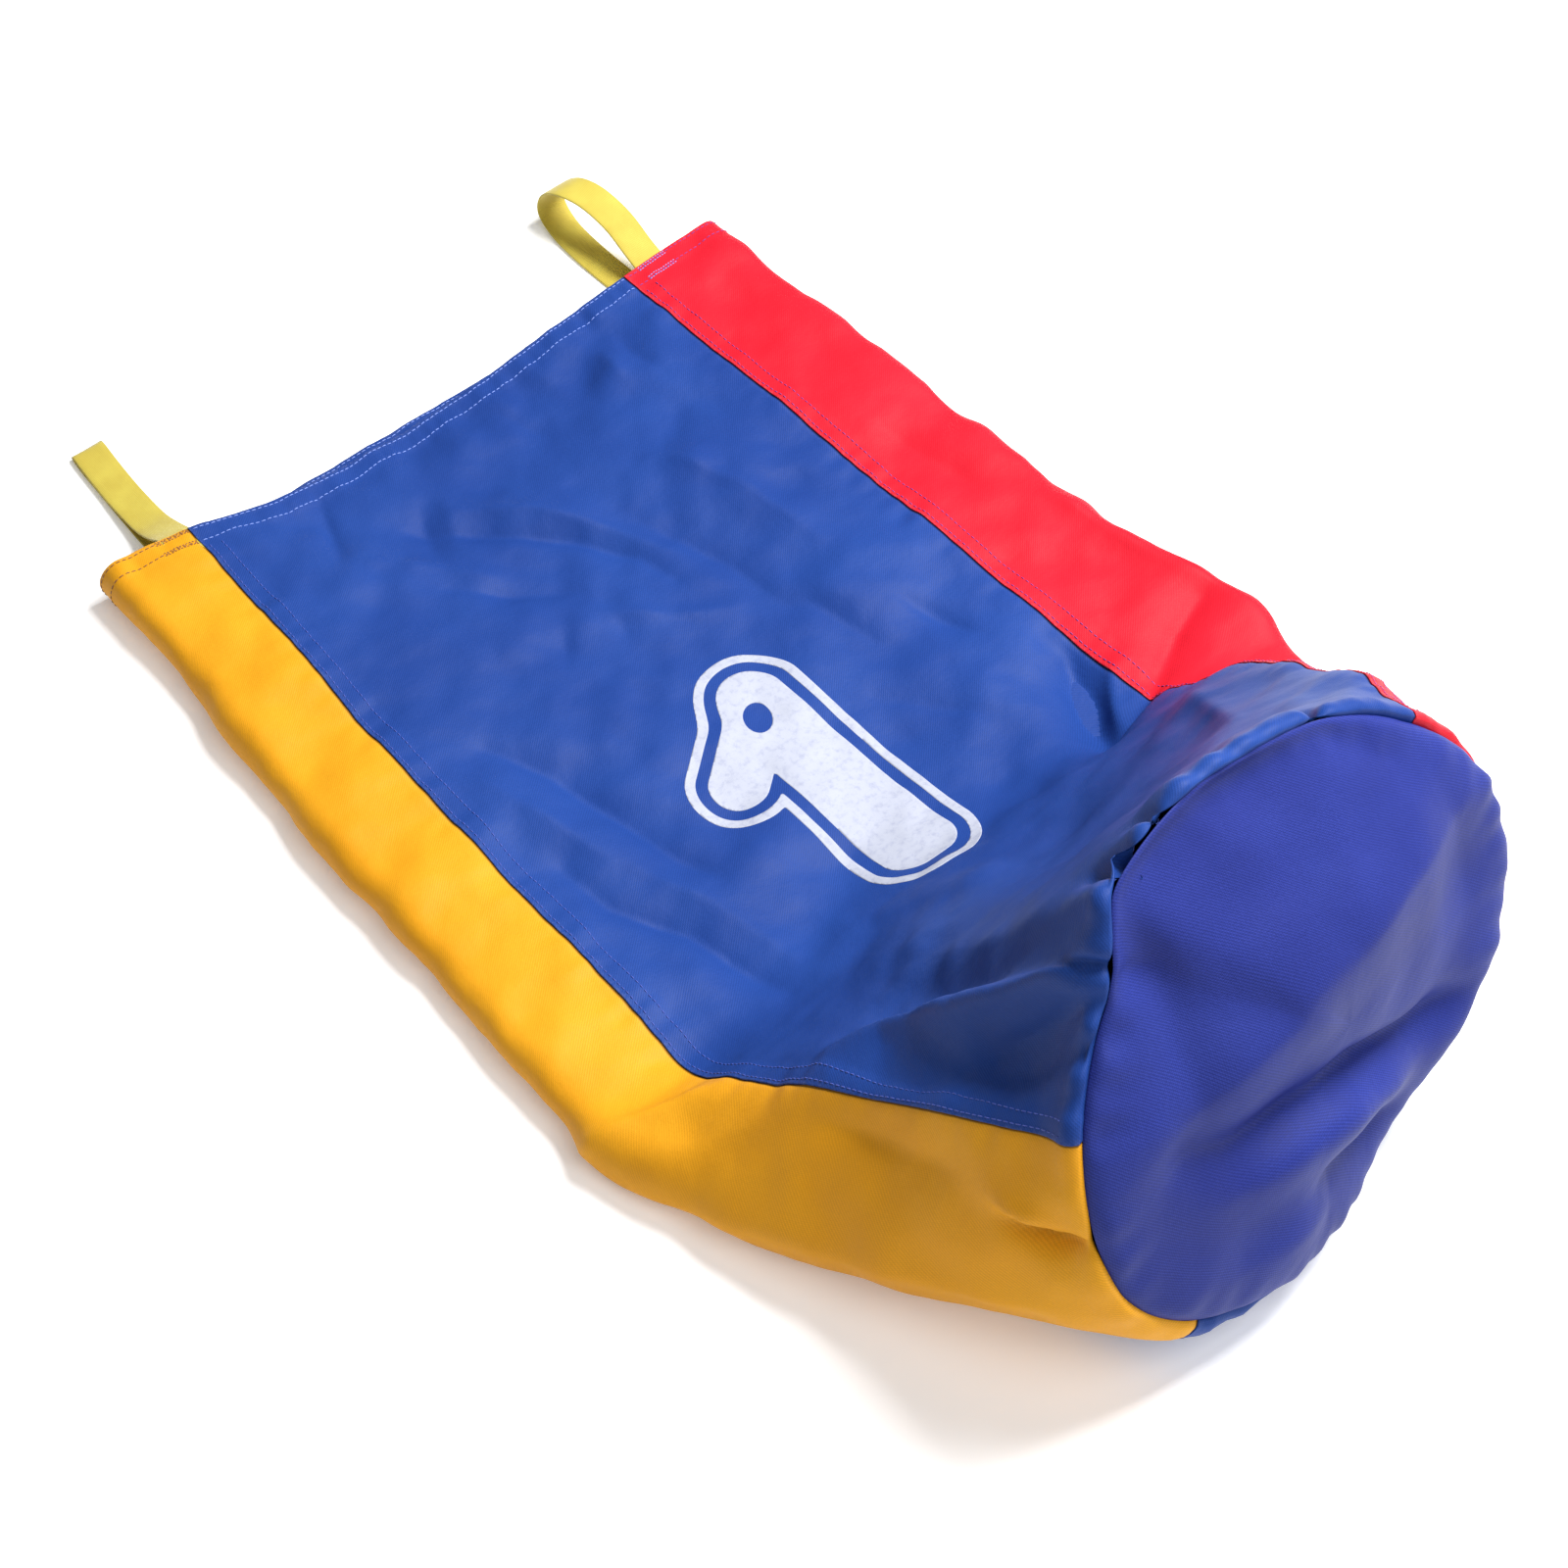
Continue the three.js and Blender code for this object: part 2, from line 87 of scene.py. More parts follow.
RED_KNUCKLE = (236.0, 412.0, 26.0, 34.0)
RED_KNUCKLE_SHIFT = (2.0, 12.0, 8.0)
SHOULDER = 18.0
FLOOR_SAG = 3.5
CREASE = np.array([
    (-GIRTH / 2, 470), (-FAR_SEAM, 466), (-GIRTH / 4, 456), (-SEAM, 464), (0, 420),
    (SEAM, 422), (GIRTH / 4, 442), (FAR_SEAM, 468), (GIRTH / 2, 470),
])
CREASE_ROUNDING = np.array([(0, 34), (SEAM, 16), (GIRTH / 4, 8), (GIRTH / 2, 30)])

# The slack base seam: angle from its top in degrees and its distance from the middle. Most pairs are the
# output of a scratch program, from points marked on the photograph, then adjusted.
RIM_SHAPE = np.array([
    (0, 141), (8, 139), (26, 137), (45, 137), (60, 140), (90, 139), (107, 134),
    (130, 124), (150, 115), (165, 114), (180, 120), (200, 130), (215, 140), (228, 148),
    (241, 155), (250, 158), (266, 154), (285, 147), (300, 140), (308, 137), (315, 138),
    (321, 148), (326, 158), (336, 154), (349, 148), (360, 141),
])
RIM_BACK = 25.0
RIM_BACK_AT = math.radians(156)
RIM_BACK_WIDTH = math.radians(26)
STRIP = 13.0
STRIP_DROP = 6.5
STRIP_FORWARD = 9.0
DISC_FLAT_RADIUS = 140.0
DISC_DOME = 13.0
FLOOR_LOBE = 9.0
FLOOR_LOBE_AT = math.radians(232)
FLOOR_LOBE_WIDTH = math.radians(13)
OVERHANG = 9.0
OVERHANG_AT = math.radians(140)
OVERHANG_WIDTH = math.radians(48)

# The cloth and the stitches stay this far above the floor.
FLOOR_GAP = 0.02
STITCH_FLOOR_GAP = 0.03

# Bag coordinates to the row frame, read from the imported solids.
MM = 0.001
LEFT_HANDLE_Y = -172 * MOUTH_GATHER + MOUTH_DRIFT
mouth_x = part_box("front_panel")[0][0] / MM
handle_low, handle_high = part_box("left_handle_loop")
SHIFT = np.array([mouth_x, (handle_low[1] + handle_high[1]) / 2 / MM - LEFT_HANDLE_Y, 0.0])


def to_frame(points):
    return (np.asarray(points, float) + SHIFT) * MM


def wrap(u):
    return (u + GIRTH / 2) % GIRTH - GIRTH / 2


def smoothstep(x, low, high):
    t = np.clip((x - low) / (high - low), 0, 1)
    return t * t * (3 - 2 * t)


def lerp(a, b, t):
    return a + (b - a) * t


def bell(x, width):
    return np.exp(-0.5 * (x / width) ** 2)


def tube_point(u, s):
    """The flattened tube: flat sheets joined by a round fold on each side."""
    v = wrap(u + ROLL)
    height = np.where(v < 0, YELLOW_FOLD_HEIGHT, RED_FOLD_HEIGHT)
    side = np.abs(v)
    flat = (GIRTH - math.pi * height) / 4
    angle = np.clip((side - flat) / (height / 2), 0, math.pi)
    middle = lerp(MOUTH_MIDDLE_HEIGHT, MIDDLE_HEIGHT, smoothstep(s, 0, 150))
    y = np.where(side < flat, side, flat + height / 2 * np.sin(angle))
    y = np.where(side > flat + math.pi * height / 2, GIRTH / 2 - side, y)
    z = np.where(
        side < flat, middle + (height - middle) * smoothstep(side, 0, flat), height / 2 * (1 + np.cos(angle)),
    )
    spread = lerp(MOUTH_GATHER, TAIL_SPREAD, s / BASE_X)
    out = -YELLOW_SPREAD * smoothstep(s, 0, 240) * smoothstep(-v, 80, 225)
    u0, s0, u_width, s_width = RED_KNUCKLE
    knuckle = bell(v - ROLL - u0, u_width) * bell(s - s0, s_width)
    back = np.interp(v, *MOUTH_EDGE.T) * (1 - smoothstep(s, 0, 200))
    across = np.sign(v) * y * spread + lerp(MOUTH_DRIFT, TAIL_DRIFT, s / BASE_X) + out
    return np.stack([s + back, across, z], -1) + knuckle[..., None] * np.array(RED_KNUCKLE_SHIFT)


base_normal = np.array([
    math.cos(BASE_LEAN) * math.cos(BASE_YAW), math.cos(BASE_LEAN) * math.sin(BASE_YAW), math.sin(BASE_LEAN),
])
base_side = np.array([-math.sin(BASE_YAW), math.cos(BASE_YAW), 0.0])
base_up = np.cross(base_normal, base_side)
base_centre = np.array([BASE_X, BASE_Y, BASE_RADIUS * math.cos(BASE_LEAN)])


def turn_bell(turn, at, width):
    return bell((turn - at + math.pi) % (2 * math.pi) - math.pi, width)


def overhang(turn):
    """How far the slack base hangs over its seam: 1 low on the red side, 0 elsewhere."""
    return turn_bell(turn, OVERHANG_AT, OVERHANG_WIDTH)


def rim_radius(turn):
    """Radius of the turned edge in front of the base seam."""
    seam = np.interp(np.degrees(turn) % 360, *RIM_SHAPE.T)
    return (
        seam + STRIP_DROP * (1 - 0.9 * overhang(turn))
        + FLOOR_LOBE * turn_bell(turn, FLOOR_LOBE_AT, FLOOR_LOBE_WIDTH)
    )


def rim_back(turn):
    """How far the rim is pushed back into the sack."""
    return -RIM_BACK * turn_bell(turn, RIM_BACK_AT, RIM_BACK_WIDTH)


def base_point(turn, radius, forward):
    radial = np.cos(turn)[..., None] * base_up + np.sin(turn)[..., None] * base_side
    return base_centre + radius[..., None] * radial + forward[..., None] * base_normal


def rim_turn(u):
    return BASE_SPIN + 2 * math.pi * u / GIRTH


RIDGE_S = LENGTH - STRIP


def wall_point(u, t):
    crease = np.interp(u, *CREASE.T)
    start = tube_point(u, crease)
    turn = rim_turn(u)
    end = base_point(turn, rim_radius(turn), rim_back(turn))
    side = np.abs(u)
    point = lerp(start, end, t[..., None])
    low = smoothstep(side, SEAM, FAR_SEAM)
    point[..., 2] = lerp(start[..., 2], end[..., 2], np.clip(t, 0, 1) ** (1 + FLOOR_SAG * low))
    swell = np.sin(math.pi * np.clip(t, 0, 1))
    front = np.cos(np.minimum(side / SEAM, 1) * math.pi / 2)
    shoulder = 1 - smoothstep(np.abs(side - SEAM), 0, SIDE_WIDTH / 2)
    point[..., 2] += (SHOULDER * shoulder - FRONT_HOLLOW * front) * swell
    bulge = np.where(u < 0, YELLOW_BULGE, RED_BULGE)
    point[..., 1] += bulge * np.sin(2 * math.pi * u / GIRTH) * swell
    return point


def laid_point(u, s):
    """Where the cloth is laid before it is relaxed."""
    u = wrap(u)
    crease = np.interp(u, *CREASE.T)
    rounding = np.interp(np.abs(u), *CREASE_ROUNDING.T)
    span = RIDGE_S - crease
    q = np.clip((s - crease + rounding) / (2 * rounding), 0, 1)[..., None]
    corner = tube_point(u, crease)
    a = lerp(tube_point(u, crease - rounding), corner, q)
    b = lerp(corner, wall_point(u, rounding / span), q)
    bend = lerp(a, b, q)
    before = (s < crease - rounding)[..., None]
    after = (s > crease + rounding)[..., None]
    wall = wall_point(u, np.clip((s - crease) / span, 0, 1))
    point = np.where(before, tube_point(u, s), np.where(after, wall, bend))
    turn = rim_turn(u)
    w = np.clip((s - RIDGE_S) / STRIP, 0, 1)
    drop = rim_radius(turn) - np.interp(np.degrees(turn) % 360, *RIM_SHAPE.T)
    strip = base_point(
        turn, rim_radius(turn) - drop * w ** 2, rim_back(turn) + STRIP_FORWARD * np.sin(w * math.pi / 2),
    )
    return np.where((s > RIDGE_S)[..., None], strip, point)


def laid_disc(u, share):
    """The base, share 1 at its seam and 0 at its middle."""
    turn = rim_turn(u)
    radius = np.interp(np.degrees(turn) % 360, *RIM_SHAPE.T) * share
    lobe = OVERHANG * overhang(turn) * bell(share - 0.92, 0.10)
    forward = STRIP_FORWARD + rim_back(turn) * share ** 2.5 + DISC_DOME * (1 - share ** 2) + lobe
    return base_point(turn, radius + 0.6 * lobe, forward)


# Creases: points (u, s) along the crease, depth (up is positive), width. They are laid on the relaxed cloth.
# Many points here, in WALL_FOLDS and in BASE_FOLDS began as the output of a scratch program, from points
# marked on the photograph, and were then adjusted.
WALL_CREASES = [
    # Front panel, in the flat part.
    ([(-44, 56), (-56, 84), (-60, 102)], -1.1, 9),
    ([(-30, 60), (-42, 88)], 1.0, 9),
    ([(-60, 66), (-30, 96), (8, 136), (28, 172), (32, 196)], -2.2, 7),
    ([(-30, 72), (4, 104), (26, 140), (42, 176)], 1.8, 8),
    ([(-70, 120), (-40, 150), (-14, 168)], -1.8, 7),
    ([(-96, 70), (-66, 100), (-46, 128)], 1.6, 9),
    ([(-14, 190), (16, 218), (44, 232)], 1.6, 8),
    ([(44, 150), (62, 206), (66, 250)], -1.8, 10),
    ([(84, 120), (104, 176), (108, 226)], 1.8, 12),
    ([(-36, 184), (-54, 210)], -0.9, 6),
    ([(-10, 198), (-16, 214)], -0.7, 5),
    ([(10, 210), (22, 230)], -0.6, 5),
    ([(-120, 228), (-104, 264), (-96, 300), (-88, 344), (-80, 368)], -3.4, 10),
    ([(-136, 248), (-124, 290), (-116, 330)], 2.0, 10),
    ([(-136, 316), (-132, 352), (-112, 388), (-100, 450)], -3.2, 9),
    ([(-112, 330), (-94, 380), (-84, 430)], 1.6, 10),
    ([(128, 30), (124, 50), (128, 70)], -1.0, 6),
    ([(112, 34), (108, 60)], 0.9, 6),
    ([(-84, 8), (-104, 62)], -2.0, 6),
    ([(36, 24), (50, 66)], -0.9, 8),
    ([(76, 256), (86, 304)], -1.8, 9),
    ([(114, 284), (128, 334)], -1.8, 8),
    ([(60, 330), (96, 380)], -1.5, 12),
    # Front panel, at the pinch beside the red seam and in the hollow.
    ([(154, 374), (140, 404), (114, 446)], -4.0, 7),
    ([(162, 398), (134, 430)], 2.5, 5),
    ([(166, 424), (124, 438)], -3.0, 6),
    ([(136, 500), (104, 604)], 2.0, 8),
    ([(-78, 704), (-92, 660), (-106, 620), (-124, 572), (-142, 546)], 4.0, 6),
    ([(-100, 700), (-116, 660), (-130, 630)], -2.5, 8),
    # Tucks across the turned edge at the base.
    ([(92, 686), (90, 714)], -4.5, 4),
    ([(-12, 684), (-14, 714)], -4.0, 4),
    ([(-34, 672), (-37, 714)], -9.0, 5),
    ([(-80, 688), (-80, 714)], -4.5, 4),
    # Yellow panel.
    ([(-230, 448), (-198, 464), (-168, 486)], 3.0, 10),
    ([(-228, 476), (-222, 556), (-228, 624), (-242, 672)], 3.0, 12),
    ([(-200, 668), (-212, 690), (-213, 708)], -6.0, 5),
    ([(-190, 664), (-201, 690)], 3.0, 6),
    ([(-176, 560), (-186, 640)], -3.0, 12),
    # Red panel.
    ([(166, 424), (198, 404), (226, 392)], -3.0, 8),
    ([(224, 290), (230, 360), (234, 430)], 2.5, 7),
    ([(190, 180), (200, 260)], -1.2, 12),
]
# Broad folds pressed in before the cloth is relaxed.
WALL_FOLDS = [
    ([(154, 374), (140, 404), (114, 446)], -8.0, 12),
    ([(136, 500), (104, 604)], 3.0, 12),
    ([(60, 480), (20, 560), (-20, 620)], -8.0, 26),
    ([(-78, 704), (-92, 660), (-106, 620), (-124, 572), (-142, 546)], 16.0, 12),
    ([(-118, 696), (-134, 640), (-146, 590)], -9.0, 15),
    ([(-228, 476), (-222, 556), (-228, 624), (-242, 672)], 6.0, 16),
    ([(-176, 560), (-186, 640)], -3.0, 14),
]
# Creases on the base, as (towards the red side, up) from its middle.
BASE_FOLDS = [
    ([(-75, 104), (-86, 52), (-83, 10)], -3.0, 9),
    ([(-92, -4), (-67, -15), (-34, -23), (10, -45), (62, -60), (90, -62)], -11.0, 9),
    ([(-76, -34), (-32, -46), (12, -70), (50, -84)], 8.0, 13),
    ([(-78, 84), (-102, 95)], -3.5, 5),
    ([(46, 130), (80, 90)], -2.5, 7),
    ([(-95, 14), (-26, 32), (47, 45), (120, 46)], 14.0, 30),
    ([(-74, 116), (-26, 128), (34, 130)], -5.0, 20),
    ([(40, -106), (0, -92), (-32, -78)], -6.0, 7),
    ([(-84, -78), (-30, -100)], 6.0, 18),
    ([(95, 70), (104, -10)], -4.0, 16),
]


CREASE_RADIUS = 1.5


def crease_profile(distance, width):
    """A crease with a small radius and sides that level out."""
    return np.exp(-(np.hypot(distance, CREASE_RADIUS) - CREASE_RADIUS) / width)


def fold_lift(x, y, folds, profile=bell):
    """Total lift of the folds at flat positions (x, y); each fades out towards its two ends."""
    total = np.zeros_like(x)
    for points, depth, width in folds:
        points = np.array(points, float)
        steps = np.linalg.norm(np.diff(points, axis=0), axis=1)
        length = steps.sum()
        nearest = np.full(x.shape, np.inf)
        along = np.zeros_like(x)
        done = 0.0
        for a, b, step in zip(points[:-1], points[1:], steps):
            d = (b - a) / step
            t = np.clip((x - a[0]) * d[0] + (y - a[1]) * d[1], 0, step)
            away = np.hypot(x - a[0] - t * d[0], y - a[1] - t * d[1])
            closer = away < nearest
            nearest = np.where(closer, away, nearest)
            along = np.where(closer, (done + t) / length, along)
            done += step
        total += depth * profile(nearest, width) * np.sin(math.pi * np.clip(0.12 + 0.76 * along, 0, 1)) ** 0.8
    return total


class Cloth:
    """The whole sack as one grid: columns round the girth, rows from mouth to base seam, then base rings."""

    EASE = 1.0
    GIVE = (0.95, 1.06)

    def __init__(self, spacing):
        self.columns = 2 * round(GIRTH / spacing / 2)
        self.wall_rows = round(LENGTH / spacing)
        self.rings = round(DISC_FLAT_RADIUS / spacing)
        self.u = -GIRTH / 2 + GIRTH * np.arange(self.columns) / self.columns
        self.s = LENGTH * np.arange(self.wall_rows + 1) / self.wall_rows
        self.share = 1 - (np.arange(1, self.rings + 1)) / (self.rings + 0.5)
        self.rest_around = np.concatenate([
            np.full(len(self.s), self.EASE * GIRTH / self.columns),
            2 * math.pi * DISC_FLAT_RADIUS * self.share / self.columns,
        ])
        ring = np.concatenate([[1.0], self.share]) * DISC_FLAT_RADIUS
        self.rest_along = np.concatenate([np.full(self.wall_rows, LENGTH / self.wall_rows), -np.diff(ring)])
        step = 2 * math.pi / self.columns
        across = np.hypot(ring[:-1] - ring[1:] * math.cos(step), ring[1:] * math.sin(step))
        wall = math.hypot(self.rest_around[0], self.rest_along[0])
        self.rest_across = np.concatenate([np.full(self.wall_rows, wall), across])
        self.squeeze = np.concatenate([np.full(len(self.s), 0.25), np.full(self.rings, 0.06)])
        self.lay()
        self.fit_rest()

    def lay(self):
        u, s = np.meshgrid(self.u, self.s, indexing="ij")
        wall = laid_point(u, s)
        ud, share = np.meshgrid(self.u, self.share, indexing="ij")
        disc = laid_disc(ud, share)
        self.target = np.concatenate([wall, disc], 1)
        turn = rim_turn(ud)
        flat_radius = share * DISC_FLAT_RADIUS
        lift = np.concatenate([
            fold_lift(u, s, WALL_FOLDS),
            fold_lift(flat_radius * np.sin(turn), flat_radius * np.cos(turn), BASE_FOLDS),
        ], 1)
        self.target = self.target + lift[..., None] * self.normals(self.target)
        self.target[..., 2] = np.maximum(self.target[..., 2], 0)
        side = np.abs(u)
        seam = bell(side - SEAM, 7)
        rim = bell(s, 12)
        ridge = bell(s - RIDGE_S, 10)
        fold = bell(side - GIRTH / 4, 18) * (1 - smoothstep(s, 430, 500))
        under = smoothstep(side, FAR_SEAM - 30, FAR_SEAM) * (1 - smoothstep(s, 560, 640))
        crease = bell(s - np.interp(u, *CREASE.T), 16)
        hold = 0.05 + 0.15 * seam + 0.6 * rim + 0.4 * ridge + 0.25 * fold + 0.05 * under + 0.1 * crease
        hold = np.where(s > RIDGE_S, 0.35, hold)
        self.hold = np.concatenate([hold, np.full(disc.shape[:2], 0.16)], 1)[..., None]
        self.soft = np.concatenate([
            1 - 0.9 * np.maximum(bell(s - RIDGE_S, 5), bell(s - np.interp(u, *CREASE.T), 10)),
            np.ones(disc.shape[:2]),
        ], 1)
        self.upper = np.concatenate([
            (np.abs(wrap(u + ROLL)) < GIRTH / 4 - 14) & (s < 400), np.zeros(disc.shape[:2], bool)], 1)
        self.x = self.target.copy()

    def fit_rest(self):
        """Rest lengths of the laid cloth, kept near those of the flat cut."""
        x = self.target
        around = np.linalg.norm(np.roll(x, -1, 0) - x, axis=-1)
        self.around = np.clip(around, self.GIVE[0] * self.rest_around, self.GIVE[1] * self.rest_around)
        along = np.linalg.norm(np.diff(x, axis=1), axis=-1)
        self.along = np.clip(along, self.GIVE[0] * self.rest_along, self.GIVE[1] * self.rest_along)
        self.across = {}
        for turn in (1, -1):
            length = np.linalg.norm(np.roll(x, turn, 0)[:, 1:] - x[:, :-1], axis=-1)
            self.across[turn] = np.clip(
                length, self.GIVE[0] * self.rest_across, self.GIVE[1] * self.rest_across,
            )

    @staticmethod
    def normals(x):
        across = np.roll(x, -1, 0) - np.roll(x, 1, 0)
        ahead = np.gradient(x, axis=1)
        n = np.cross(ahead, across)
        return n / np.maximum(np.linalg.norm(n, axis=-1, keepdims=True), 1e-9)

    @staticmethod
    def pull(a, b, rest, stretch, squeeze):
        d = b - a
        length = np.maximum(np.linalg.norm(d, axis=-1, keepdims=True), 1e-9)
        off = (length - rest) / length
        move = 0.5 * np.where(off > 0, stretch, squeeze) * off * d
        a += move
        b -= move

    def constrain(self):
        x = self.x
        squeeze = self.squeeze[None, :, None]
        for first in (0, 1):
            x = np.roll(x, -first, 0)
            rest = np.roll(self.around, -first, 0)[0::2, :, None]
            self.pull(x[0::2], x[1::2], rest, 0.9, squeeze)
            x = np.roll(x, first, 0)
        rows = x.shape[1]
        for first in (0, 1):
            last = first + 2 * ((rows - first) // 2)
            rest = self.along[:, first:last - 1:2, None]
            self.pull(x[:, first:last:2], x[:, first + 1:last:2], rest, 0.9, squeeze[:, first:last - 1:2])
        for first in (0, 1):
            last = first + 2 * ((rows - first) // 2)
            for turn in (1, -1):
                rest = self.across[turn][:, first:last - 1:2, None]
                other = np.roll(x[:, first + 1:last:2], turn, 0)
                self.pull(x[:, first:last:2], other, rest, 0.25, 0.2 * squeeze[:, first:last - 1:2])
                x[:, first + 1:last:2] = np.roll(other, -turn, 0)
        self.x = x

    def bend(self, stiffness):
        x = self.x
        bow = x - 0.5 * (np.roll(x, 1, 0) + np.roll(x, -1, 0))
        weight = np.full(x.shape[1], stiffness)
        weight[self.wall_rows + 1:] = 0.3
        x -= (weight * self.soft)[..., None] * bow
        inner = x[:, 1:-1] - 0.5 * (x[:, :-2] + x[:, 2:])
        weight = (weight * self.soft)[:, 1:-1]
        weight[:, self.wall_rows - 1] = 0.02
        x[:, 1:-1] -= weight[..., None] * inner

    def relax(self, steps, stiffness):
        velocity = np.zeros_like(self.x)
        for _ in range(steps):
            before = self.x.copy()
            self.x = self.x + 0.9 * velocity
            self.x += self.hold * (self.target - self.x)
            self.bend(stiffness)
            self.constrain()
            self.constrain()
            self.x[..., 2] = np.maximum(self.x[..., 2], np.where(self.upper, 2.4, 0.4))
            velocity = self.x - before

    def refined(self, spacing):
        """The same cloth on a finer grid."""
        fine = Cloth(spacing)
        columns = (fine.u + GIRTH / 2) / GIRTH * self.columns
        rows = np.concatenate([
            fine.s / LENGTH * self.wall_rows,
            self.wall_rows + (1 - fine.share) * (self.rings + 0.5),
        ])
        fine.x = self.sample(columns[:, None], rows[None, :])
        return fine

    def sample(self, column, row):
        """Smooth value of the surface at fractional grid positions."""
        column, row = np.broadcast_arrays(column, row)
        x = self.x
        c0, r0 = np.floor(column).astype(int), np.clip(np.floor(row).astype(int), 0, x.shape[1] - 2)
        wc, wr = cubic_weights(column - c0), cubic_weights(row - r0)
        total = 0.0
        for i in range(4):
            for j in range(4):
                rr = r0 + j - 1
                value = x[(c0 + i - 1) % self.columns, np.clip(rr, 0, x.shape[1] - 1)]
                below = 2 * x[(c0 + i - 1) % self.columns, 0] - x[(c0 + i - 1) % self.columns, 1]
                value = np.where((rr < 0)[..., None], below, value)
                total = total + (wc[i] * wr[j])[..., None] * value
        return total


def cubic_weights(t):
    return (
        -0.5 * t + t ** 2 - 0.5 * t ** 3,
        1 - 2.5 * t ** 2 + 1.5 * t ** 3,
        0.5 * t + 2 * t ** 2 - 1.5 * t ** 3,
        -0.5 * t ** 2 + 0.5 * t ** 3,
    )


def ripple(u, s, seed, size, amount):
    """Smooth random relief of the given wavelength, the same on every run."""
    rng = np.random.default_rng(seed)
    total = np.zeros_like(u)
    for _ in range(24):
        angle = rng.uniform(0, 2 * math.pi)
        k = 2 * math.pi / (size * rng.uniform(0.7, 1.5))
        around = round(k * math.cos(angle) * GIRTH / (2 * math.pi)) * 2 * math.pi / GIRTH
        total += np.cos(around * u + k * math.sin(angle) * s + rng.uniform(0, 2 * math.pi))
    return amount * total / math.sqrt(12)


# Relaxing the cloth: grid spacing in mm, steps, bending stiffness.
COARSE = (8, 120, 0.08)
FINE = (4, 90, 0.08)


def relaxed_cloth():
    cloth = Cloth(COARSE[0])
    u, s = np.meshgrid(cloth.u, cloth.s, indexing="ij")
    start = ripple(u, s, 3, 60, 0.8)
    cloth.x[:, :len(cloth.s)] += start[..., None] * cloth.normals(cloth.x)[:, :len(cloth.s)]
    cloth.relax(COARSE[1], COARSE[2])
    cloth = cloth.refined(FINE[0])
    cloth.relax(FINE[1], FINE[2])
    return cloth


cloth = relaxed_cloth()


def sampled(u, s):
    """Surface point and outward normal of the wall at (u, s)."""
    step = 1.0
    column = lambda value: (value + GIRTH / 2) / GIRTH * cloth.columns
    row = lambda value: value / LENGTH * cloth.wall_rows
    point = cloth.sample(column(u), row(s))
    around = cloth.sample(column(u + step), row(s)) - cloth.sample(column(u - step), row(s))
    low, high = np.maximum(s - step, 0), np.minimum(s + step, LENGTH)
    along = cloth.sample(column(u), row(high)) - cloth.sample(column(u), row(low))
    n = np.cross(along, around)
    return point, n / np.linalg.norm(n, axis=-1, keepdims=True)


def sampled_disc(u, share):
    """Surface point and outward normal of the base; share is 1 at its seam and 0 at its middle."""
    row = lambda value: cloth.wall_rows + np.minimum((1 - value) * (cloth.rings + 0.5), cloth.rings)
    column = lambda value: (value + GIRTH / 2) / GIRTH * cloth.columns
    point = cloth.sample(column(u), row(share))
    step_u, step_share = 6.0, 0.02
    around = cloth.sample(column(u + step_u), row(share)) - cloth.sample(column(u - step_u), row(share))
    high, low = np.minimum(share + step_share, 1), np.maximum(share - step_share, 0.02)
    outwards = cloth.sample(column(u), row(high)) - cloth.sample(column(u), row(low))
    n = np.cross(around, outwards)
    return point, n / np.maximum(np.linalg.norm(n, axis=-1, keepdims=True), 1e-9)


# Thickness and sewing, in millimetres.
CLOTH = 0.35
HEM_DEPTH = 14.0
HEM_RAISE = 0.3
HEM_THICK = 1.05
LAP = 12.0
LAP_RAISE = 0.5
LAP_THICK = 0.95
UNDER_DROP = 0.55
GROOVE = 1.8
GROOVE_WIDTH = 3.2
EDGE_ROW = 2.6
TOPSTITCH_OFFSETS = (2.6, 10.0)
STITCH = 2.7
STITCH_PITCH = 3.5
THREAD_RADIUS = 0.24

PANELS = {
    "front": dict(start=-SEAM, width=FRONT_WIDTH, laps=(True, False), spacing=2.4, cloth="blue"),
    "right_side": dict(start=SEAM, width=SIDE_WIDTH, laps=(True, False), spacing=2.6, cloth="red"),
    "back": dict(start=FAR_SEAM, width=FRONT_WIDTH, laps=(True, True), spacing=5.0, cloth="blue"),
    "left_side": dict(start=-FAR_SEAM, width=SIDE_WIDTH, laps=(False, False), spacing=2.6, cloth="yellow"),
}


def seam_pucker(u, s):
    """Small relief that the sewing draws into the cloth."""
    hem = (
        0.34 * ripple(u, 0.25 * s, 11, 11, 1.0) * bell(s - 9, 6)
        + 0.6 * ripple(u, 0.2 * s, 14, 30, 1.0) * bell(s - 18, 14)
    )
    around = np.abs(wrap(u))
    slack = lerp(0.3, 1.0, bell(wrap(u + 70), 110))
    tail = slack * ripple(u, 0.3 * s, 12, 17, 1.0) * bell(s - LENGTH + 6, 8) * smoothstep(LENGTH - s, 0, 4)
    near = np.minimum(np.abs(around - SEAM), np.abs(around - FAR_SEAM))
    side = 0.28 * ripple(0.3 * u, s, 13, 13, 1.0) * bell(near - 5, 6)
    return hem + tail + side


def relief(u, s):
    """Creases and soft unevenness of the loose cloth, fading out where it lies on the floor."""
    around = wrap(u)
    loose = 1 - smoothstep(np.abs(around), FAR_SEAM - 50, FAR_SEAM - 15)
    uneven = ripple(u, s, 5, 90, 1.2) + ripple(u, s, 6, 36, 0.42) + ripple(u, s, 7, 17, 0.10)
    away = smoothstep(s, 4, 30) * (1 - smoothstep(s, RIDGE_S - 10, RIDGE_S + 6))
    return loose * (2.2 * fold_lift(around, s, WALL_CREASES, crease_profile) + uneven * away)


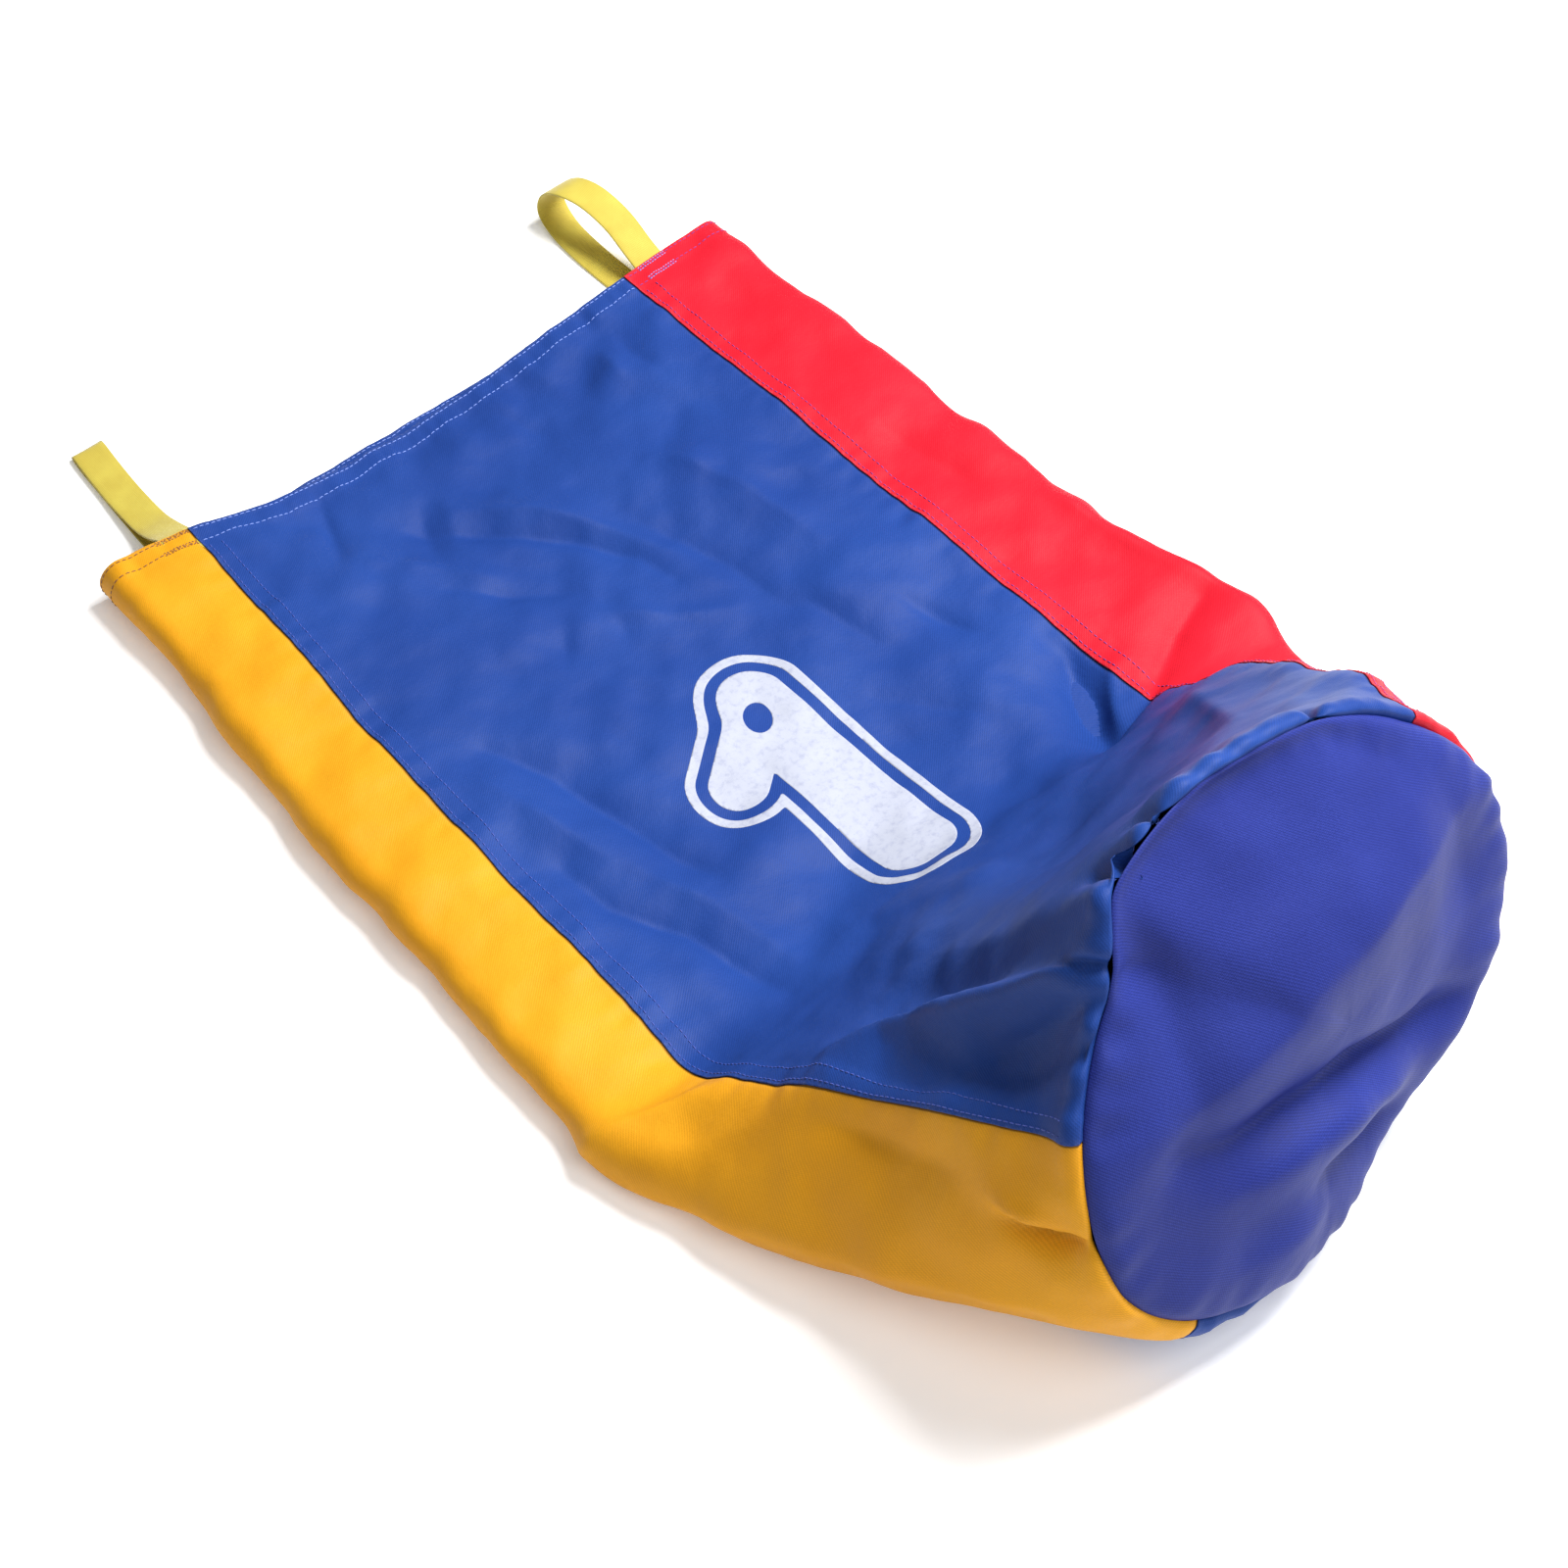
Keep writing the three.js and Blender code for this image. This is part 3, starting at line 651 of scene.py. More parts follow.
def base_groove(distance):
    """Depth to which the cloth turns in at the base seam."""
    return -GROOVE * (1 - np.clip(distance / GROOVE_WIDTH, 0, 1)) ** 1.6


def seam_outward(u):
    """Direction out of the base seam, halfway between the wall's and the base's."""
    both = sampled(u, np.full_like(u, LENGTH))[1] + sampled_disc(u, np.ones_like(u))[1]
    return both / np.linalg.norm(both, axis=-1, keepdims=True)


def lap_at(panel, u):
    """(how far a lapped edge is raised, how far an under edge is lowered), each 0 to 1."""
    near, far = u - panel["start"], panel["start"] + panel["width"] - u
    raised = np.zeros_like(u)
    lowered = np.zeros_like(u)
    for distance, laps in zip((near, far), panel["laps"]):
        if laps:
            raised = np.maximum(raised, 1 - smoothstep(distance, LAP - 1.2, LAP + 0.8))
        else:
            lowered = np.maximum(lowered, smoothstep(-distance, -1.6, 0.2))
    return raised, lowered


def outer_height(panel, u, s):
    raised, lowered = lap_at(panel, u)
    hem = 1 - smoothstep(s, HEM_DEPTH - 0.6, HEM_DEPTH + 0.8)
    height = LAP_RAISE * raised + HEM_RAISE * hem - UNDER_DROP * lowered
    return height + seam_pucker(u, s) + relief(u, s) + base_groove(LENGTH - s)


def thickness(panel, u, s):
    raised, lowered = lap_at(panel, u)
    hem = 1 - smoothstep(s, HEM_DEPTH - 0.6, HEM_DEPTH + 0.8)
    return CLOTH + np.maximum((LAP_THICK - CLOTH) * raised, (HEM_THICK - CLOTH) * hem) * (1 - lowered)


def steps_between(start, end, spacing):
    return np.linspace(start, end, max(2, round((end - start) / spacing) + 1))


def make_mesh(name, points, faces, uvs=None, material=None, smooth=True):
    """A mesh object; points are bag coordinates in mm, uvs one (u, v) for each point."""
    mesh = bpy.data.meshes.new(name)
    mesh.from_pydata(to_frame(points).tolist(), [], faces)
    if uvs is not None:
        layer = mesh.uv_layers.new(name="cloth")
        loops = np.empty(len(mesh.loops), int)
        mesh.loops.foreach_get("vertex_index", loops)
        layer.data.foreach_set("uv", (np.asarray(uvs, float)[loops] * MM).ravel())
    mesh.polygons.foreach_set("use_smooth", [smooth] * len(mesh.polygons))
    mesh.update()
    obj = bpy.data.objects.new(name, mesh)
    bpy.context.collection.objects.link(obj)
    if material is not None:
        mesh.materials.append(material)
    return obj


def shell_faces(columns, rows, closed=False):
    """Quads of an outer and an inner grid of points, joined round their edges."""
    index = np.arange(columns * rows).reshape(columns, rows)
    if closed:
        index = np.concatenate([index, index[:1]])
    inner = index + columns * rows
    a, b, c, d = index[:-1, :-1], index[1:, :-1], index[1:, 1:], index[:-1, 1:]
    faces = [np.stack([a, d, c, b], -1).reshape(-1, 4)]
    a, b, c, d = inner[:-1, :-1], inner[1:, :-1], inner[1:, 1:], inner[:-1, 1:]
    faces.append(np.stack([a, b, c, d], -1).reshape(-1, 4))
    edges = [(index[:, 0], inner[:, 0], 1), (index[:, -1], inner[:, -1], -1)]
    if not closed:
        edges += [(index[0], inner[0], -1), (index[-1], inner[-1], 1)]
    for top, bottom, way in edges:
        quads = np.stack([top[:-1], top[1:], bottom[1:], bottom[:-1]], -1)
        faces.append(quads if way > 0 else quads[:, ::-1])
    return np.concatenate(faces).tolist()


def panel_columns(panel):
    start, end = panel["start"], panel["start"] + panel["width"]
    near, far = panel["laps"]
    low = [0.0, 0.5, 1.5, 4.0, 8.0, LAP - 1.2, LAP + 0.8] if near else [-LAP, -LAP / 2, 0.0, 0.8, 1.6]
    high = [0.0, 0.5, 1.5, 4.0, 8.0, LAP - 1.2, LAP + 0.8] if far else [-LAP, -LAP / 2, 0.0, 0.8, 1.6]
    middle = steps_between(start + low[-1], end - high[-1], panel["spacing"])[1:-1]
    return np.concatenate([start + np.array(low), middle, end - np.array(high[::-1])])


def panel_rows(spacing):
    head = [0.0, 0.6, 2.6, 5.5, 8.5, 11.5, HEM_DEPTH - 0.6, HEM_DEPTH + 0.8]
    tail = [LENGTH - 6.0, LENGTH - GROOVE_WIDTH, LENGTH - 2.0, LENGTH - 1.0, LENGTH]
    return np.concatenate([head, steps_between(head[-1], tail[0], spacing)[1:-1], tail])


def make_panel(name, material):
    panel = PANELS[name]
    us, ss = panel_columns(panel), panel_rows(panel["spacing"])
    u, s = np.meshgrid(us, ss, indexing="ij")
    point, normal = sampled(u, s)
    point = point + base_groove(LENGTH - s)[..., None] * (seam_outward(u) - normal)
    height = outer_height(panel, u, s)
    edge = 0.5 * thickness(panel, u, s)
    rim = edge * (1 - np.clip(s / 0.6, 0, 1)) ** 2
    outer = point + (height - rim)[..., None] * normal
    inner = point + (height - 2 * edge + rim)[..., None] * normal
    points = np.concatenate([outer.reshape(-1, 3), inner.reshape(-1, 3)])
    points[:, 2] = np.maximum(points[:, 2], FLOOR_GAP)
    uvs = np.stack([u, s], -1).reshape(-1, 2)
    faces = shell_faces(len(us), len(ss))
    return make_mesh(name + "_cloth", points, faces, np.concatenate([uvs, uvs]), material)


def make_base(material):
    columns = 360
    us = -GIRTH / 2 + GIRTH * np.arange(columns) / columns
    edge = 1 - np.array([0.0, 0.9, 1.8, GROOVE_WIDTH, 6.0]) / DISC_FLAT_RADIUS
    shares = np.concatenate([edge, steps_between(edge[-1], 0.03, -3.4 / DISC_FLAT_RADIUS)[1:]])
    u, share = np.meshgrid(us, shares, indexing="ij")
    point, normal = sampled_disc(u, share)
    inwards = DISC_FLAT_RADIUS * (1 - share)
    turn = rim_turn(u)
    side, up = DISC_FLAT_RADIUS * share * np.sin(turn), DISC_FLAT_RADIUS * share * np.cos(turn)
    point = point + base_groove(inwards)[..., None] * seam_outward(u)
    height = 0.4 * ripple(u, 0.3 * inwards, 12, 17, 1.0) * bell(inwards - 6, 8)
    height += 0.6 * fold_lift(side, up, BASE_FOLDS, crease_profile) + ripple(side, up, 8, 50, 0.5)
    height *= smoothstep(inwards, 0, 6)
    outer = point + height[..., None] * normal
    inner = outer - CLOTH * normal
    points = np.concatenate([outer.reshape(-1, 3), inner.reshape(-1, 3)])
    points[:, 2] = np.maximum(points[:, 2], FLOOR_GAP)
    uvs = np.stack([side, up], -1).reshape(-1, 2)
    count = len(points) // 2
    faces = shell_faces(columns, len(shares), closed=True)
    last = len(shares) - 1
    ring = [c * len(shares) + last for c in range(columns)]
    faces = [f for f in faces if not (sum(i % len(shares) == last for i in f) == 4)]
    points = np.concatenate([points, [outer[:, -1].mean(0)], [inner[:, -1].mean(0)]])
    uvs = np.concatenate([uvs, uvs, np.zeros((2, 2))])
    for i in range(columns):
        a, b = ring[i], ring[(i + 1) % columns]
        faces.append([a, 2 * count, b])
        faces.append([b + count, 2 * count + 1, a + count])
    return make_mesh("base_cloth", points, faces, uvs, material)


# Materials: node-based cloth, webbing, ink and thread. Cloth coordinates are metres on the flat cut.
def linear(*rgb):
    """An 8-bit display colour as linear light."""
    values = [v / 255 for v in rgb]
    return [v / 12.92 if v <= 0.04045 else ((v + 0.055) / 1.055) ** 2.4 for v in values] + [1.0]


class Nodes:
    """A small helper that adds and joins shader nodes."""

    def __init__(self, name):
        self.material = bpy.data.materials.new(name)
        self.material.use_nodes = True
        self.tree = self.material.node_tree
        self.shader = self.tree.nodes["Principled BSDF"]

    def add(self, kind, **settings):
        node = self.tree.nodes.new(kind)
        for key, value in settings.items():
            setattr(node, key, value)
        return node

    def put(self, value, socket):
        if isinstance(value, bpy.types.NodeSocket):
            self.tree.links.new(value, socket)
        else:
            socket.default_value = value

    def math(self, operation, a, b=0.0, c=0.0):
        node = self.add("ShaderNodeMath", operation=operation)
        for value, socket in zip((a, b, c), node.inputs):
            self.put(value, socket)
        return node.outputs[0]

    def mix(self, factor, a, b, blend_type="MIX"):
        node = self.add("ShaderNodeMix", data_type="RGBA", blend_type=blend_type)
        self.put(factor, node.inputs[0])
        self.put(a, node.inputs[6])
        self.put(b, node.inputs[7])
        return node.outputs[2]

    def noise(self, vector, scale, detail=3.0, roughness=0.5):
        node = self.add("ShaderNodeTexNoise")
        self.put(vector, node.inputs["Vector"])
        node.inputs["Scale"].default_value = scale
        node.inputs["Detail"].default_value = detail
        node.inputs["Roughness"].default_value = roughness
        return node.outputs["Fac"]

    def ramp(self, value, low, high):
        node = self.add("ShaderNodeMapRange", interpolation_type="SMOOTHSTEP")
        self.put(value, node.inputs[0])
        node.inputs[1].default_value, node.inputs[2].default_value = low, high
        return node.outputs[0]

    def wave(self, value, period):
        """0 to 1 along value with the given period in metres."""
        return self.math(
            "MULTIPLY_ADD", self.math("SINE", self.math("MULTIPLY", value, 2 * math.pi / period)), 0.5, 0.5,
        )

    def cloth_axes(self):
        uv = self.add("ShaderNodeUVMap", uv_map="cloth").outputs[0]
        split = self.add("ShaderNodeSeparateXYZ")
        self.put(uv, split.inputs[0])
        return uv, split.outputs[0], split.outputs[1]

    def bump(self, height, strength, distance, before=None):
        node = self.add("ShaderNodeBump")
        node.inputs["Strength"].default_value = strength
        node.inputs["Distance"].default_value = distance
        self.put(height, node.inputs["Height"])
        if before is not None:
            self.put(before, node.inputs["Normal"])
        return node.outputs[0]


def cloth_material(name, colour, shade, yarn, twill, roughness, contrast):
    """Coated oxford cloth: crossed yarns, a faint twill line, uneven dye, pale worn edges and a painted lap
    shadow.
    """
    n = Nodes(name)
    uv, across, along = n.cloth_axes()
    wobble = n.math("MULTIPLY", n.noise(uv, 60.0, 2.0), 0.0006)
    warp = n.wave(n.math("ADD", across, wobble), yarn)
    weft = n.wave(n.math("ADD", along, wobble), yarn)
    diagonal = n.wave(n.math("ADD", n.math("ADD", across, along), wobble), twill)
    yarns = n.math("MULTIPLY", warp, weft)
    slubs = n.noise(uv, 900.0, 2.0, 0.6)
    dye = n.noise(uv, 9.0, 4.0, 0.55)
    relief = n.math("ADD", n.math("MULTIPLY", yarns, 0.5), n.math("MULTIPLY", diagonal, 0.5))
    grain = n.math("ADD", n.math("MULTIPLY", relief, 0.55), n.math("MULTIPLY", slubs, 0.45))
    base = n.mix(n.ramp(dye, 0.3, 0.75), shade, colour)
    base = n.mix(
        n.math("MULTIPLY", n.math("SUBTRACT", 1.0, n.ramp(grain, 0.2, 0.75)), contrast),
        base,
        [c * 0.35 for c in shade[:3]] + [1],
    )
    wear = n.add("ShaderNodeAttribute", attribute_name="wear").outputs["Fac"]
    pale = [0.55 * c + 0.45 for c in colour[:3]] + [1]
    rubbed = n.math("MULTIPLY", wear, n.ramp(n.noise(uv, 420.0, 3.0, 0.7), 0.38, 0.72))
    base = n.mix(n.math("MULTIPLY", rubbed, 0.12), base, pale)
    # Painted shadow: a dark line on a panel where it runs under a neighbour's lapped edge.
    painted_lap_shadow = n.add("ShaderNodeAttribute", attribute_name="painted_lap_shadow").outputs["Fac"]
    base = n.mix(n.math("MULTIPLY", painted_lap_shadow, 0.8), base, [c * 0.15 for c in shade[:3]] + [1])
    n.put(base, n.shader.inputs["Base Color"])
    rough = n.math("ADD", roughness, n.math("MULTIPLY", n.math("SUBTRACT", slubs, 0.5), 0.16))
    n.put(n.math("ADD", rough, n.math("MULTIPLY", wear, 0.06)), n.shader.inputs["Roughness"])
    n.shader.inputs["IOR"].default_value = 1.22
    crumple = n.bump(n.noise(uv, 48.0, 4.0, 0.6), 0.6, 0.0012)
    n.put(n.bump(relief, 0.6, 0.00012, crumple), n.shader.inputs["Normal"])
    return n.material


def ink_material(name):
    """Screen-printed white ink: matt, slightly uneven, with the weave showing through and pinholes."""
    n = Nodes(name)
    uv, across, along = n.cloth_axes()
    yarns = n.math("MULTIPLY", n.wave(across, 0.0007), n.wave(along, 0.0007))
    cover = n.noise(uv, 240.0, 4.0, 0.7)
    base = n.mix(n.ramp(cover, 0.28, 0.55), [0.31, 0.33, 0.43, 1], [0.39, 0.41, 0.49, 1])
    specks = n.ramp(n.noise(uv, 700.0, 2.0, 0.5), 0.30, 0.24)
    base = n.mix(n.math("MULTIPLY", specks, 0.6), base, linear(120, 140, 205))
    n.put(base, n.shader.inputs["Base Color"])
    n.shader.inputs["Roughness"].default_value = 0.62
    n.put(n.bump(n.math("ADD", yarns, cover), 0.35, 0.0001), n.shader.inputs["Normal"])
    return n.material


def webbing_material(name, colour, shade):
    """Woven tape: ribs across the strap, fine yarns along it and a denser woven edge."""
    n = Nodes(name)
    uv, across, along = n.cloth_axes()
    ribs = n.wave(along, 0.0011)
    yarns = n.wave(n.math("ADD", across, n.math("MULTIPLY", ribs, 0.0002)), 0.0009)
    weave = n.math("ADD", n.math("MULTIPLY", ribs, 0.6), n.math("MULTIPLY", yarns, 0.4))
    dye = n.noise(uv, 45.0, 3.0)
    edge = n.ramp(n.math("ABSOLUTE", across), 0.0082, 0.0096)
    base = n.mix(n.ramp(dye, 0.3, 0.7), shade, colour)
    base = n.mix(
        n.math("MULTIPLY", n.math("SUBTRACT", 1.0, weave), 0.35), base, [c * 0.55 for c in shade[:3]] + [1],
    )
    base = n.mix(n.math("MULTIPLY", edge, 0.25), base, [c * 0.7 for c in shade[:3]] + [1])
    n.put(base, n.shader.inputs["Base Color"])
    n.shader.inputs["Roughness"].default_value = 0.7
    n.shader.inputs["Sheen Weight"].default_value = 0.25
    n.put(n.bump(weave, 0.7, 0.00022), n.shader.inputs["Normal"])
    return n.material


def thread_material(name, colour, shade):
    """Twisted polyester thread."""
    n = Nodes(name)
    _, across, along = n.cloth_axes()
    twist = n.wave(n.math("ADD", across, along), 0.0005)
    n.put(n.mix(twist, shade, colour), n.shader.inputs["Base Color"])
    n.shader.inputs["Roughness"].default_value = 0.5
    n.put(n.bump(twist, 0.6, 0.00008), n.shader.inputs["Normal"])
    return n.material


CLOTHS = {
    "blue": cloth_material(
        "blue_oxford", [0.018, 0.064, 0.30, 1], [0.013, 0.048, 0.245, 1], 0.0007, 0.0016, 0.52, 0.40,
    ),
    "red": cloth_material(
        "red_oxford", [0.70, 0.014, 0.032, 1], [0.60, 0.010, 0.024, 1], 0.0007, 0.0016, 0.54, 0.30,
    ),
    "yellow": cloth_material(
        "yellow_oxford", [0.80, 0.37, 0.015, 1], [0.72, 0.31, 0.010, 1], 0.0007, 0.0016, 0.54, 0.30,
    ),
    "base": cloth_material(
        "base_oxford", [0.031, 0.050, 0.31, 1], [0.022, 0.034, 0.23, 1], 0.0009, 0.0017, 0.54, 0.62,
    ),
}
WEBBING_LOOK = webbing_material("lemon_webbing", [0.60, 0.49, 0.055, 1], [0.52, 0.40, 0.035, 1])
INK_LOOK = ink_material("white_ink")
THREADS = {
    "pale": thread_material("pale_blue_thread", linear(150, 176, 240), linear(96, 124, 214)),
    "blue": thread_material("blue_thread", linear(84, 108, 206), linear(30, 42, 120)),
    "purple": thread_material("purple_thread", linear(150, 60, 150), linear(96, 36, 110)),
    "dark": thread_material("brown_thread", linear(134, 84, 60), linear(92, 52, 48)),
}

PANEL_SLOTS = {
    "front": "blue_cloth",
    "right_side": "red_cloth",
    "back": "blue_cloth",
    "left_side": "yellow_cloth",
}


def settle(obj, slot_name, *nodes):
    """obj rides on the sack and stands for these CAD nodes."""
    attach(obj, "sack")
    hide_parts(*nodes)


def set_value(obj, name, values):
    attribute = obj.data.attributes.new(name, "FLOAT", "POINT")
    attribute.data.foreach_set("value", np.asarray(values, np.float32))


def wear_and_painted_lap_shadow(obj, panel):
    """Rim, seam edges and turned base edge are rubbed paler; painted shadow darkens a panel under a lap."""
    uv = np.empty(2 * len(obj.data.loops))
    obj.data.uv_layers["cloth"].data.foreach_get("uv", uv)
    loops = np.empty(len(obj.data.loops), int)
    obj.data.loops.foreach_get("vertex_index", loops)
    at = np.zeros((len(obj.data.vertices), 2))
    at[loops] = uv.reshape(-1, 2) / MM
    side = np.abs(wrap(at[:, 0]))
    near = np.minimum(np.abs(side - SEAM), np.abs(side - FAR_SEAM))
    rubbed = bell(at[:, 1], 1.6) + 0.8 * bell(near, 1.0) + 0.2 * bell(LENGTH - STRIP - at[:, 1], 2.0)
    set_value(obj, "wear", np.clip(rubbed, 0, 1))
    # Painted shadow: dark for 0.7 mm next to an edge that runs under a lap, fading out by 1.7 mm.
    under = np.zeros(len(at))
    ends = (at[:, 0] - panel["start"], panel["start"] + panel["width"] - at[:, 0])
    for distance, laps in zip(ends, panel["laps"]):
        if not laps:
            under = np.maximum(under, 1 - smoothstep(distance, 0.7, 1.7))
    set_value(obj, "painted_lap_shadow", under)


for name, panel in PANELS.items():
    obj = make_panel(name, CLOTHS[panel["cloth"]])
    wear_and_painted_lap_shadow(obj, panel)
    settle(obj, PANEL_SLOTS[name], name + "_panel")
base = make_base(CLOTHS["base"])
set_value(base, "wear", np.zeros(len(base.data.vertices)))
settle(base, "base_cloth", "base_panel")


# Stitching: one small arched stitch after another, each a closed hexagonal capsule.
def stitches(name, paths, height, material, slot_name, node, pitch=STITCH_PITCH):
    """Stitches along the paths (u, s), at a height over the cloth given by height(u, s)."""
    rng = np.random.default_rng(len(name))
    points, faces, uvs = [], [], []
    for u, s in paths:
        stitch_row(u, s, height, pitch, rng, points, faces, uvs)
    points = np.array(points)
    points[:, 2] = np.maximum(points[:, 2], STITCH_FLOOR_GAP)
    obj = make_mesh(name, points, faces, uvs, material)
    settle(obj, slot_name, node)
    return obj


STITCH_RINGS = np.array([
    (-0.5, 0.25, -0.16), (-0.36, 0.85, 0.02), (0.0, 1.0, 0.12), (0.36, 0.85, 0.02), (0.5, 0.25, -0.16),
])


def stitch_row(u, s, height, pitch, rng, points, faces, uvs):
    sampled_path, normal = sampled(u, s)
    gaps = np.linalg.norm(np.diff(sampled_path, axis=0), axis=1)
    done = np.concatenate([[0], np.cumsum(gaps)])
    centres = np.arange(pitch / 2, done[-1], pitch)
    rings = STITCH_RINGS
    sides = 6
    angles = 2 * math.pi * np.arange(sides) / sides
    for centre in centres:
        lengthwise = centre + rings[:, 0] * STITCH / STITCH_PITCH * pitch * rng.uniform(0.93, 1.04)
        lengthwise = np.clip(lengthwise, 0, done[-1])
        uu, ss = np.interp(lengthwise, done, u), np.interp(lengthwise, done, s)
        at = np.stack([np.interp(lengthwise, done, sampled_path[:, i]) for i in range(3)], -1)
        up = np.stack([np.interp(lengthwise, done, normal[:, i]) for i in range(3)], -1)
        way = at[-1] - at[0]
        way /= np.linalg.norm(way)
        sideways = np.cross(way, up)
        sideways /= np.linalg.norm(sideways, axis=1, keepdims=True)
        lift, inside = height(uu, ss)
        face = -1 if inside else 1
        at = at + (lift + face * rings[:, 2])[:, None] * up
        first = len(points)
        for k, (_, girth, _) in enumerate(rings):
            for angle in angles:
                offset = THREAD_RADIUS * girth * (
                    math.cos(angle) * sideways[k] * 1.25 + math.sin(angle) * up[k]
                )
                points.append(at[k] + offset)
                uvs.append((angle * THREAD_RADIUS, lengthwise[k]))
        for k in range(len(rings) - 1):
            for j in range(sides):
                a, b = first + k * sides + j, first + k * sides + (j + 1) % sides
                faces.append((a, b, b + sides, a + sides))
        faces.append(tuple(first + j for j in range(sides))[::-1])
        faces.append(tuple(first + (len(rings) - 1) * sides + j for j in range(sides)))


def on_outside(panel):
    return lambda u, s: (outer_height(panel, u, s) + 0.10, False)


def on_inside(panel):
    return lambda u, s: (outer_height(panel, u, s) - thickness(panel, u, s) - 0.10, True)


HEM_THREADS = {"front": "pale", "right_side": "purple", "back": "pale", "left_side": "dark"}
HEM_SLOTS = {
    "front": "blue_thread",
    "right_side": "dark_thread",
    "back": "blue_thread",
    "left_side": "dark_thread",
}
for name, panel in PANELS.items():
    u = np.linspace(panel["start"] + 1.5, panel["start"] + panel["width"] - 1.5, 160)
    height = (on_inside if name == "back" else on_outside)(panel)
    for row, at in (("edge", EDGE_ROW), ("fold", HEM_DEPTH - 1.6)):
        wander = 0.25 * ripple(u, np.zeros_like(u), 21 + len(row), 40, 1.0)
        node = f"{name}_hem_{row}_stitching"
        stitches(
            f"{name}_hem_{row}_stitches", [(u, at + wander)], height,
            THREADS[HEM_THREADS[name]], HEM_SLOTS[name], node,
        )

SEAM_ROWS = {
    "front_left": ("front", -SEAM, 1, "blue", "blue_thread"),
    "front_right": ("right_side", SEAM, 1, "purple", "dark_thread"),
    "back_right": ("back", FAR_SEAM, 1, "pale", "blue_thread"),
    "back_left": ("back", -FAR_SEAM, -1, "pale", "blue_thread"),
}
for name, (owner, seam_u, towards, thread, slot_name) in SEAM_ROWS.items():
    panel = PANELS[owner]
    height = (on_inside if owner == "back" else on_outside)(panel)
    s = np.linspace(HEM_DEPTH + 3, LENGTH - STRIP + 1, 300)
    for row, offset in zip(("edge", "inner"), TOPSTITCH_OFFSETS):
        u = seam_u + towards * offset + 0.2 * ripple(np.zeros_like(s), s, 31 + len(row), 60, 1.0)
        if owner == "back" and seam_u < 0:
            u = u + GIRTH
        node = f"{name}_seam_{row}_stitching"
        stitches(f"{name}_seam_{row}_stitches", [(u, s)], height, THREADS[thread], slot_name, node)

seam_round = np.linspace(-GIRTH / 2, GIRTH / 2 - 2, 420)
plain = lambda u, s: (seam_pucker(u, s) + relief(u, s) - CLOTH - 0.5, True)
stitches(
    "base_seam_stitches", [(seam_round, np.full_like(seam_round, LENGTH - STRIP + 3))], plain,
    THREADS["blue"], "blue_thread", "base_seam_stitching",
)

# Dense rows that hold the handle ends, over the two rows of the hem.
TACKS = {"left": (-172.5, "left_side", "dark"), "right": (181.0, "right_side", "pale")}
TACK_HALF = 10.5
TACK_ROWS = (1.6, 3.6, 11.2, 13.4)
for side, (middle, owner, thread) in TACKS.items():
    u = np.linspace(middle - TACK_HALF, middle + TACK_HALF, 30)
    rows = [(u, np.full_like(u, at)) for at in TACK_ROWS]
    height = on_outside(PANELS[owner])
    stitches(
        side + "_handle_tack_stitches", rows, height,
        THREADS[thread], "dark_thread", side + "_handle_tack", 1.9,
    )


# The printed digit: a bar and a slanted flag with an oval hole, inside an outline ring, in plan on the
# laid sack.
DIGIT_BAR = dict(
    top=268.0, foot=434.0, centre=-1.0, half_width=22.0, taper=3.0, top_corner=19.0, foot_corner=15.0,
)
DIGIT_FLAG = dict(start=(299.0, -5.0), end=(328.5, -42.5), radius=16.0)
DIGIT_HOLE = dict(centre=(299.6, -5.0), radii=(11.2, 7.8), tilt=math.radians(-34))
DIGIT_FILLET = 9.0
RING = (6.5, 12.0)
INK_LIFT = 0.12
INK_DEPTH = 0.2
INK_CELL = 1.4


def digit_distance(x, y):
    """Signed distance from the digit's outline, negative inside it."""
    bar = DIGIT_BAR
    middle = (bar["foot"] + bar["top"]) / 2
    corner = np.where(x < middle, bar["top_corner"], bar["foot_corner"])
    qx = np.abs(x - middle) - (bar["foot"] - bar["top"]) / 2 + corner
    narrow = bar["taper"] * (1 - smoothstep(x, bar["top"], bar["top"] + 75))
    qy = np.abs(y - bar["centre"] - narrow) - bar["half_width"] + narrow + corner
    upright = np.hypot(np.maximum(qx, 0), np.maximum(qy, 0)) + np.minimum(np.maximum(qx, qy), 0) - corner
    (x0, y0), (x1, y1) = DIGIT_FLAG["start"], DIGIT_FLAG["end"]
    dx, dy = x1 - x0, y1 - y0
    t = np.clip(((x - x0) * dx + (y - y0) * dy) / (dx ** 2 + dy ** 2), 0, 1)
    flag = np.hypot(x - x0 - t * dx, y - y0 - t * dy) - DIGIT_FLAG["radius"]
    fillet = 0.5 + DIGIT_FILLET * (1 - smoothstep(x, 305, 330))
    h = np.clip(0.5 + 0.5 * (flag - upright) / fillet, 0, 1)
    return lerp(flag, upright, h) - fillet * h * (1 - h)


def hole_distance(x, y):
    (cx, cy), (rx, ry), tilt = DIGIT_HOLE["centre"], DIGIT_HOLE["radii"], DIGIT_HOLE["tilt"]
    along = (x - cx) * math.cos(tilt) + (y - cy) * math.sin(tilt)
    across = (y - cy) * math.cos(tilt) - (x - cx) * math.sin(tilt)
    return (np.hypot(along / rx, across / ry) - 1) * min(rx, ry)


def fill_shape(x, y):
    return np.maximum(digit_distance(x, y), -hole_distance(x, y))


def outline_shape(x, y):
    d = digit_distance(x, y)
    return np.maximum(d - RING[1], RING[0] - d)


